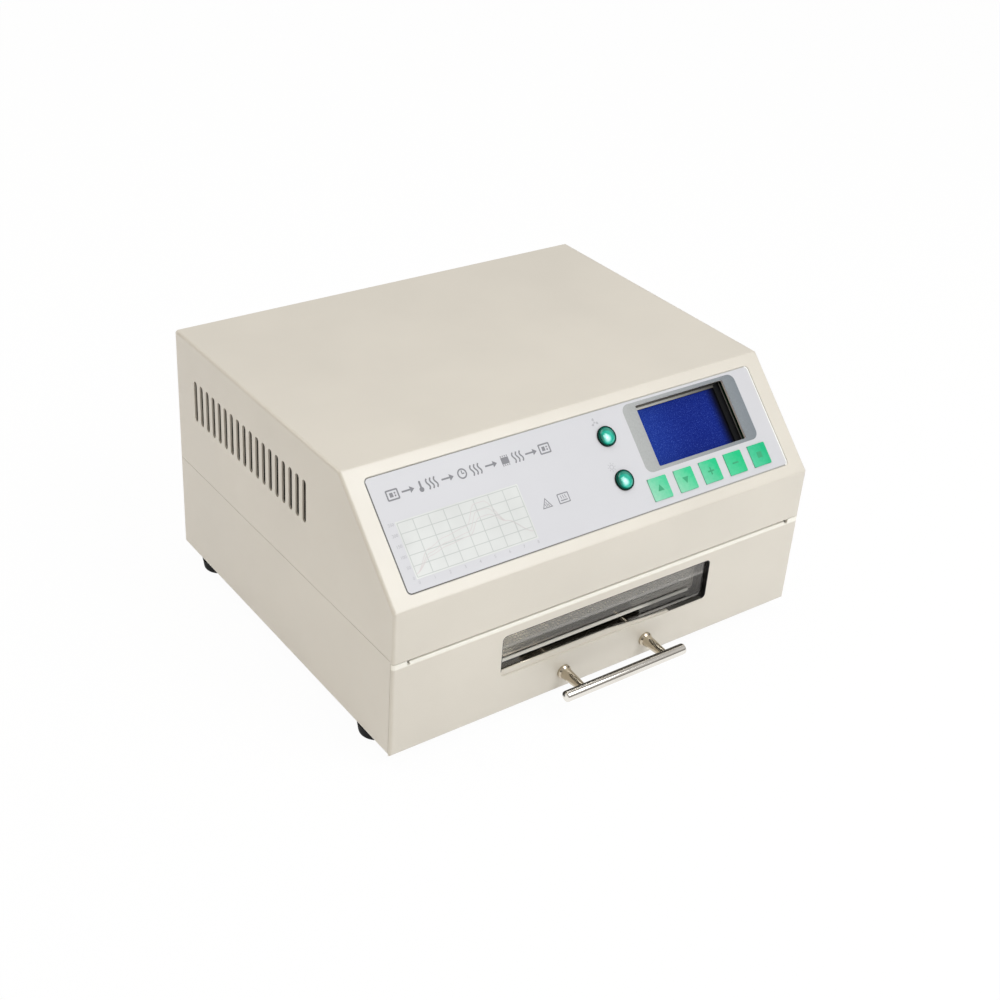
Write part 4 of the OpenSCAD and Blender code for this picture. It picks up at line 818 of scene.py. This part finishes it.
# The overlay's edges: dark where they shade the recess, white where they catch the light
corner_x, corner_v = OVERLAY_X - OVERLAY_R, OVERLAY_V - OVERLAY_R
lower_edge = [(-OVERLAY_X, corner_v)] + arc(-corner_x, -corner_v, OVERLAY_R, 180, 270) + [(corner_x, -OVERLAY_V)]
upper_edge = arc(-corner_x, corner_v, OVERLAY_R, 165, 90) + [(corner_x, OVERLAY_V)]
right_edge = arc(corner_x, -corner_v, OVERLAY_R, -75, 0) + arc(corner_x, corner_v, OVERLAY_R, 0, 80)
for name, path, dx, dv, width, mat in (("lower", lower_edge, 0.3, 0.3, 0.62, EDGE_DARK),
                                       ("upper", upper_edge, 0.25, -0.22, 0.45, EDGE_TOP),
                                       ("right", right_edge, -0.45, 0, 0.9, EDGE_WHITE)):
    printed("overlay_edge_" + name, [strip([(x + dx, v + dv) for x, v in path], width)], mat)


def hot_sign(cx, cv, r):
    """Triangle with three heat waves in it."""
    def triangle(k):
        corners = [turned(90 + 120 * i, k * r) for i in range(3)]
        return [(cx + x, cv - r * 0.25 + v) for x, v in corners]

    rises = ((-1, 0.5), (0, 0.85), (1, 0.5))
    return [triangle(1.15), triangle(0.87)] + [
        wave(cx + k * r * 0.3, cv - r * 0.62, r * rise, r * 0.07, r * 0.11, 8) for k, rise in rises]


def oven_sign(cx, cv, r):
    """Window of an oven with three heat waves over a board."""
    frames = [centred(cx, cv, r * 1.3, r, 0.6), centred(cx, cv, r * 1.1, r * 0.8, 0.4)]
    board = rect(cx - r * 0.8, cv - r * 0.5, cx + r * 0.8, cv - r * 0.3)
    return frames + [board] + [wave(cx + k * r * 0.5, cv - r * 0.12, r * 0.7, r * 0.08, r * 0.13, 8)
                               for k in (-1, 0, 1)]


def fan_pictogram(cx, cv, r):
    """Three curved blades round a hub."""
    out = [arc(cx, cv, r * 0.2, 0, 360, 12)[:-1]]
    steps = [s / 8 for s in range(9)]
    reach = [r * 0.28 + r * 0.72 * t for t in steps]
    front = [r * 0.34 * math.sin(math.pi * min(1, t * 1.1)) + 0.12 * r * t for t in steps]
    rear = [-r * 0.12 * math.sin(math.pi * t) for t in steps]
    blade = list(zip(reach, front)) + list(zip(reach, rear))[::-1]
    for a in (90, 210, 330):
        c, s = turned(a)
        out.append([(cx + c * x - s * y, cv + s * x + c * y) for x, y in blade])
    return out


def lamp_pictogram(cx, cv, r):
    """Circle with eight rays."""
    out = ring(cx, cv, r * 0.45, r * 0.16, 20)
    for a in range(0, 360, 45):
        ray = [(cx + x, cv + v) for x, v in (turned(a, r * 0.68), turned(a, r))]
        out.append(strip(ray, r * 0.14))
    return out


printed("hot_sign", hot_sign(-38.05, -9.6, 3.6), INK)
printed("oven_sign", oven_sign(-25.6, -9.8, 3.1), INK)
printed("fan_pictogram", fan_pictogram(14.9, 27.3, 2.9), FAINT_INK)
printed("lamp_pictogram", lamp_pictogram(14.4, -1.4, 2.9), FAINT_INK)


# -------------------------------------------------------------------- keys

def key_sign(number, cx, cv):
    """Triangle up, triangle down, plus, minus and a square, in turn."""
    s, w = 2.4, 0.5
    if number == 1:
        return [(cx - s, cv - s * 0.7), (cx + s, cv - s * 0.7), (cx, cv + s)]
    if number == 2:
        return [(cx - s, cv + s * 0.7), (cx, cv - s), (cx + s, cv + s * 0.7)]
    if number == 3:
        plus = [(-s, -w), (-w, -w), (-w, -s), (w, -s), (w, -w), (s, -w), (s, w), (w, w), (w, s), (-w, s), (-w, w),
                (-s, w)]
        return [(cx + x, cv + y) for x, y in plus]
    if number == 4:
        return centred(cx, cv, s, w)
    return centred(cx, cv, s * 0.8, s * 0.8)


for number in range(1, 6):
    x, key = key_x(number), "key_%d" % number
    sign_z = OVERLAY_TOP + KEY_TOP
    sign = slab_mesh([key_sign(number, x, -KEY_DROP)], sign_z, sign_z + KEY_SIGN_T, SLOPE)
    piece("key_sign_%d" % number, sign, KEY_INK, key)
    outer, inner = KEY_SIZE / 2 + 0.5, KEY_SIZE / 2 + 0.08
    printed("key_surround_%d" % number, [centred(x, -KEY_DROP, outer, outer), centred(x, -KEY_DROP, inner, inner)],
            SLOT_FINISH["overlay"])


# ----------------------------------------------------------- display module

def on_bezel(name, loops, mat, height):
    """Thin strip on the display's metal frame that carries painted light and shade."""
    piece(name, slab_mesh(loops, BEZEL, BEZEL + height, SLOPE), mat, "housing")


# Painted highlight line round the screen, a painted highlight strip along its upper edge, and painted shade above
# that
on_bezel("bezel_rim_highlight", [centred(SCREEN_X, SCREEN_V, *line) for line in (RIM_OUTER, RIM_INNER)], RIM_HIGHLIGHT, 0.3)
on_bezel("bezel_upper_shade", [rect(SCREEN_X - 37, SCREEN_V + 20.3, SCREEN_X + 36, SCREEN_V + 23.6)], BEZEL_SHADE, 0.15)
on_bezel("bezel_highlight_strip", [rect(SCREEN_X - 33.4, SCREEN_V + 18.6, SCREEN_X + 33.4, SCREEN_V + 20.1)], BEZEL_HIGHLIGHT, 0.12)


# ------------------------------------------------------------------- window

def in_window(name, outline, far, near, mat, slot):
    """Piece of the drawer between two distances behind the front."""
    piece(name, slab_mesh([outline], -far, -near, FRONT), mat, "drawer")


def gasket_path(inset):
    """Line inside the opening's edge, open along the lower edge."""
    w, h, r = WINDOW_W / 2 - inset, WINDOW_H / 2 - inset, WINDOW_R - inset
    left, right, low, high = r - w, w - r, WINDOW_Z - h + r, WINDOW_Z + h - r
    return ([(-w, low + 1)] + arc(left, high, r, 180, 90) + arc(right, high, r, 90, 0)
            + arc(right, low, r, 0, -80))


FILM_EDGE = 0.48
GASKET_FAR, GASKET_NEAR = 3.46, 0.06  # how far behind the front the gasket reaches and starts
STRIP_DEPTH = (2.0, 1.2)  # the same for the painted reflection lines and the sill
STRIP_LEFT = -79.3
SILL_H = 3.9
in_window("window_gasket", strip(gasket_path(0.24), 0.44), GASKET_FAR, GASKET_NEAR, GASKET, "dark_steel")
# Painted shade along the window's lower edge near its right corner
in_window("window_sill_shade", rect(50.5, WINDOW_LOW, 79, WINDOW_LOW + 0.5, 0.2), GASKET_FAR, 0.4,
          SILL_SHADE, "dark_steel")
in_window("window_film", rect(FILM_EDGE - WINDOW_W / 2, WINDOW_LOW + 0.52, WINDOW_W / 2 - FILM_EDGE,
                              WINDOW_LOW + WINDOW_H - 0.5, 2.4), 2.4, 2.1, film_material(), "window_glass")
# Painted reflection lines across the window: a bright one dimming towards the right, and a dim lower one at the
# right
in_window("window_reflection_line", rect(STRIP_LEFT, 37.2, 65, 39.2, 0.3), *STRIP_DEPTH, REFLECTION_LINE, "sheet_steel")
in_window("window_reflection_line_lower", rect(26, 30.6, 66, 31.6, 0.3), *STRIP_DEPTH, REFLECTION_LINE_LOWER, "sheet_steel")
sill = [(STRIP_LEFT, 0), (50, 0), (50, 0.5), (16, 2.6), (2, SILL_H), (STRIP_LEFT, SILL_H)]
in_window("window_sill", [(x, WINDOW_LOW + z) for x, z in sill], *STRIP_DEPTH, SLOT_FINISH["case_paint"], "sheet_steel")


# ------------------------------------------------------------------- handle

bar_lo, bar_hi = (CASE.inverted() @ (c / MM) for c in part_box("handle_bar"))
bar_mid = (bar_lo + bar_hi) / 2
bar_r, bar_l = (bar_hi.z - bar_lo.z) / 2 - 0.01, (bar_hi.x - bar_lo.x) / 2 - 0.01
BAR_END = [(0, 1.3), (0.15, 0.75), (0.45, 0.3), (0.9, 0.06), (1.5, 0)]  # distance from the end, and cut in radius
bar_profile = [(e - bar_l, bar_r - cut) for e, cut in BAR_END]
bar_profile += [(bar_l - e, bar_r - cut) for e, cut in BAR_END[::-1]]
bar = lathe(bar_profile)
bar.transform(TO_M @ CASE @ at(*bar_mid))
bar_place = CASE @ bar_mid
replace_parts(piece("handle_bar_polished", bar, bar_material(bar_place.y, bar_place.z), "drawer", True),
            "handle_bar")


# --------------------------------------------------------------- board tray

WEAVE_PITCH, WIRE = 2.4, 0.55
tray_lo, tray_hi = (CASE.inverted() @ (c / MM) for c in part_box("board_tray"))
rim = slab_mesh([rect(tray_lo.x + 0.3, tray_lo.y + 0.1, tray_hi.x - 0.3, tray_lo.y + 1.3)],
                tray_hi.z + 0.02, tray_hi.z + 1.2, CASE)
piece("tray_front_rim", rim, TRAY_RIM, "drawer")
weave = woven_mesh(tray_lo.x + 1, tray_hi.x - 1, tray_lo.y + 1.7, tray_hi.y - 1, tray_hi.z + 0.75,
                   WEAVE_PITCH, WIRE)
piece("tray_weave", weave, SLOT_FINISH["tray_steel"], "drawer", True)


# ----------------------------------------------------- painted shade behind the vents

case_hi = CASE.inverted() @ (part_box("top_cover")[1] / MM)
vent_y, vent_z = case_hi.y - VENT_REAR - (VENT_COUNT - 1) / 2 * VENT_PITCH, CASE_H - VENT_DROP
for side, sign in (("left", -1), ("right", 1)):
    shade_sheet = slab_mesh([centred(vent_z, vent_y, VENT_SHADE_H / 2, VENT_SHADE_L / 2, 2)], -VENT_SHADE_T / 2, VENT_SHADE_T / 2,
                      CASE @ at(sign * (case_hi.x - SHEET - VENT_SHADE_GAP), 0, 0) @ SIDE)
    piece("vent_shade_" + side, shade_sheet, VENT_SHADE, "housing")


# ------------------------------------------------------------------- camera

# Fitted to the case's corners and edges in the photograph
FOCAL_PIXELS, IMAGE_PIXELS = 1564.976, 1000.0
cam_data = bpy.data.cameras.new("camera")
cam = place_in_scene(bpy.data.objects.new("camera", cam_data))
bpy.context.scene.camera = cam
cam_right = Vector((0.8121735093418271, -0.580129966883458, 0.06183374683115147))
cam_up = Vector((0.26067201419447983, 0.45565593262698406, 0.8511332281597436))
cam_back = Vector((-0.521942805045892, -0.6751495335002692, 0.5212953248161687))
cam_turn = Matrix((cam_right, cam_up, cam_back)).transposed().to_4x4()
cam.matrix_world = Matrix.Translation(Vector((-0.5288794, FRONT_Y * MM - 0.5682143, 0.5984885))) @ cam_turn
cam_data.sensor_width = 36.0
cam_data.lens = FOCAL_PIXELS * cam_data.sensor_width / IMAGE_PIXELS
cam_data.clip_start, cam_data.clip_end = 0.05, 50.0


# -------------------------------------------------------- floor and lighting

world = bpy.data.worlds.new("studio")
bpy.context.scene.world = world
studio = Tree(world)
studio.nt.nodes.clear()


def backdrop(axis, stops, strength=1.0):
    """Background whose colour follows the direction looked in, -1 to 1 along an axis."""
    direction = studio.part(studio.node("ShaderNodeTexCoord").outputs["Generated"], axis)
    tone = studio.ramp(studio.spread(direction, -1.0, 1.0), [((d + 1) / 2, (*c, 1)) for d, c in stops])
    back = studio.node("ShaderNodeBackground")
    back.inputs["Strength"].default_value = strength
    studio.link(tone, back.inputs["Color"])
    return back.outputs[0]


# Camera and transmission rays see plain white, glossy ones a dim room, and the rest give the object's light
plain = studio.node("ShaderNodeBackground")
plain.inputs["Color"].default_value = (1, 1, 1, 1)
sky = backdrop("X", [(-1, (1.0, 0.91, 0.75)), (0, (1.0, 0.97, 0.92)), (1, (0.985, 0.985, 0.975))], 0.63)
room = backdrop("Z", [(-0.2, (0.8, 0.79, 0.77)), (-0.02, (0.75, 0.74, 0.72)), (0.04, (0.16, 0.155, 0.145)),
                      (0.3, (0.3, 0.29, 0.28)), (0.5, (0.62, 0.61, 0.6)), (0.8, (0.5, 0.49, 0.48)),
                      (0.97, (0.2, 0.19, 0.18))])
indoors = studio.either(studio.rays("Glossy"), sky, room)
surroundings = studio.either(studio.rays("Camera", "Transmission"), indoors, plain.outputs[0])
studio.link(surroundings, studio.node("ShaderNodeOutputWorld").inputs["Surface"])

FLOOR_GLOW = 0.965  # share of white seen by direct rays; the rest keeps the shadow
ground = Tree(bpy.data.materials.new("floor"))
ground.nt.nodes.clear()
diffuse = ground.node("ShaderNodeBsdfDiffuse")
diffuse.inputs["Color"].default_value = (0.95, 0.95, 0.95, 1)
glow = ground.node("ShaderNodeEmission")
glow.inputs["Color"].default_value = (1, 1, 1, 1)
seen = ground.calc("MULTIPLY", ground.rays("Camera", "Glossy", "Transmission"), FLOOR_GLOW)
surface = ground.either(seen, diffuse.outputs[0], glow.outputs[0])
ground.link(surface, ground.node("ShaderNodeOutputMaterial").inputs["Surface"])
floor_mesh = mesh_of([(-6, -6, 0), (6, -6, 0), (6, 6, 0), (-6, 6, 0)], [[0, 1, 2, 3]])
floor = place_in_scene(bpy.data.objects.new("floor", floor_mesh))
floor.location.z = -0.0002
coat(floor, ground)


def area_light(name, place, target, size, power, color=(1, 1, 1)):
    """Round lamp that faces a target, in metres and watts."""
    data = bpy.data.lights.new(name, "AREA")
    data.shape = "DISK"
    data.size = size
    data.energy = power
    data.color = color
    obj = place_in_scene(bpy.data.objects.new(name, data))
    obj.location = place
    obj.rotation_mode = "QUATERNION"
    obj.rotation_quaternion = (Vector(target) - Vector(place)).to_track_quat("-Z", "Y")


area_light("key", (0.38, -0.88, 1.18), (0.0, -0.06, 0.12), 0.8, 8.9, (0.93, 0.968, 1.0))
area_light("overhead", (-0.2, 0.45, 2.05), (0, 0.02, 0.1), 1.8, 9.2)

# The chamber's own lamp, lit
lamp_lo, lamp_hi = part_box("chamber_lamp")
lamp = bpy.data.lights.new("chamber_lamp_light", "POINT")
lamp.energy, lamp.color, lamp.shadow_soft_size = 0.22, (1.0, 0.94, 0.84), 0.004
lamp_light = place_in_scene(bpy.data.objects.new("chamber_lamp_light", lamp))
lamp_light.location = ((lamp_lo.x + lamp_hi.x) / 2, (lamp_lo.y + lamp_hi.y) / 2, lamp_lo.z - 0.006)
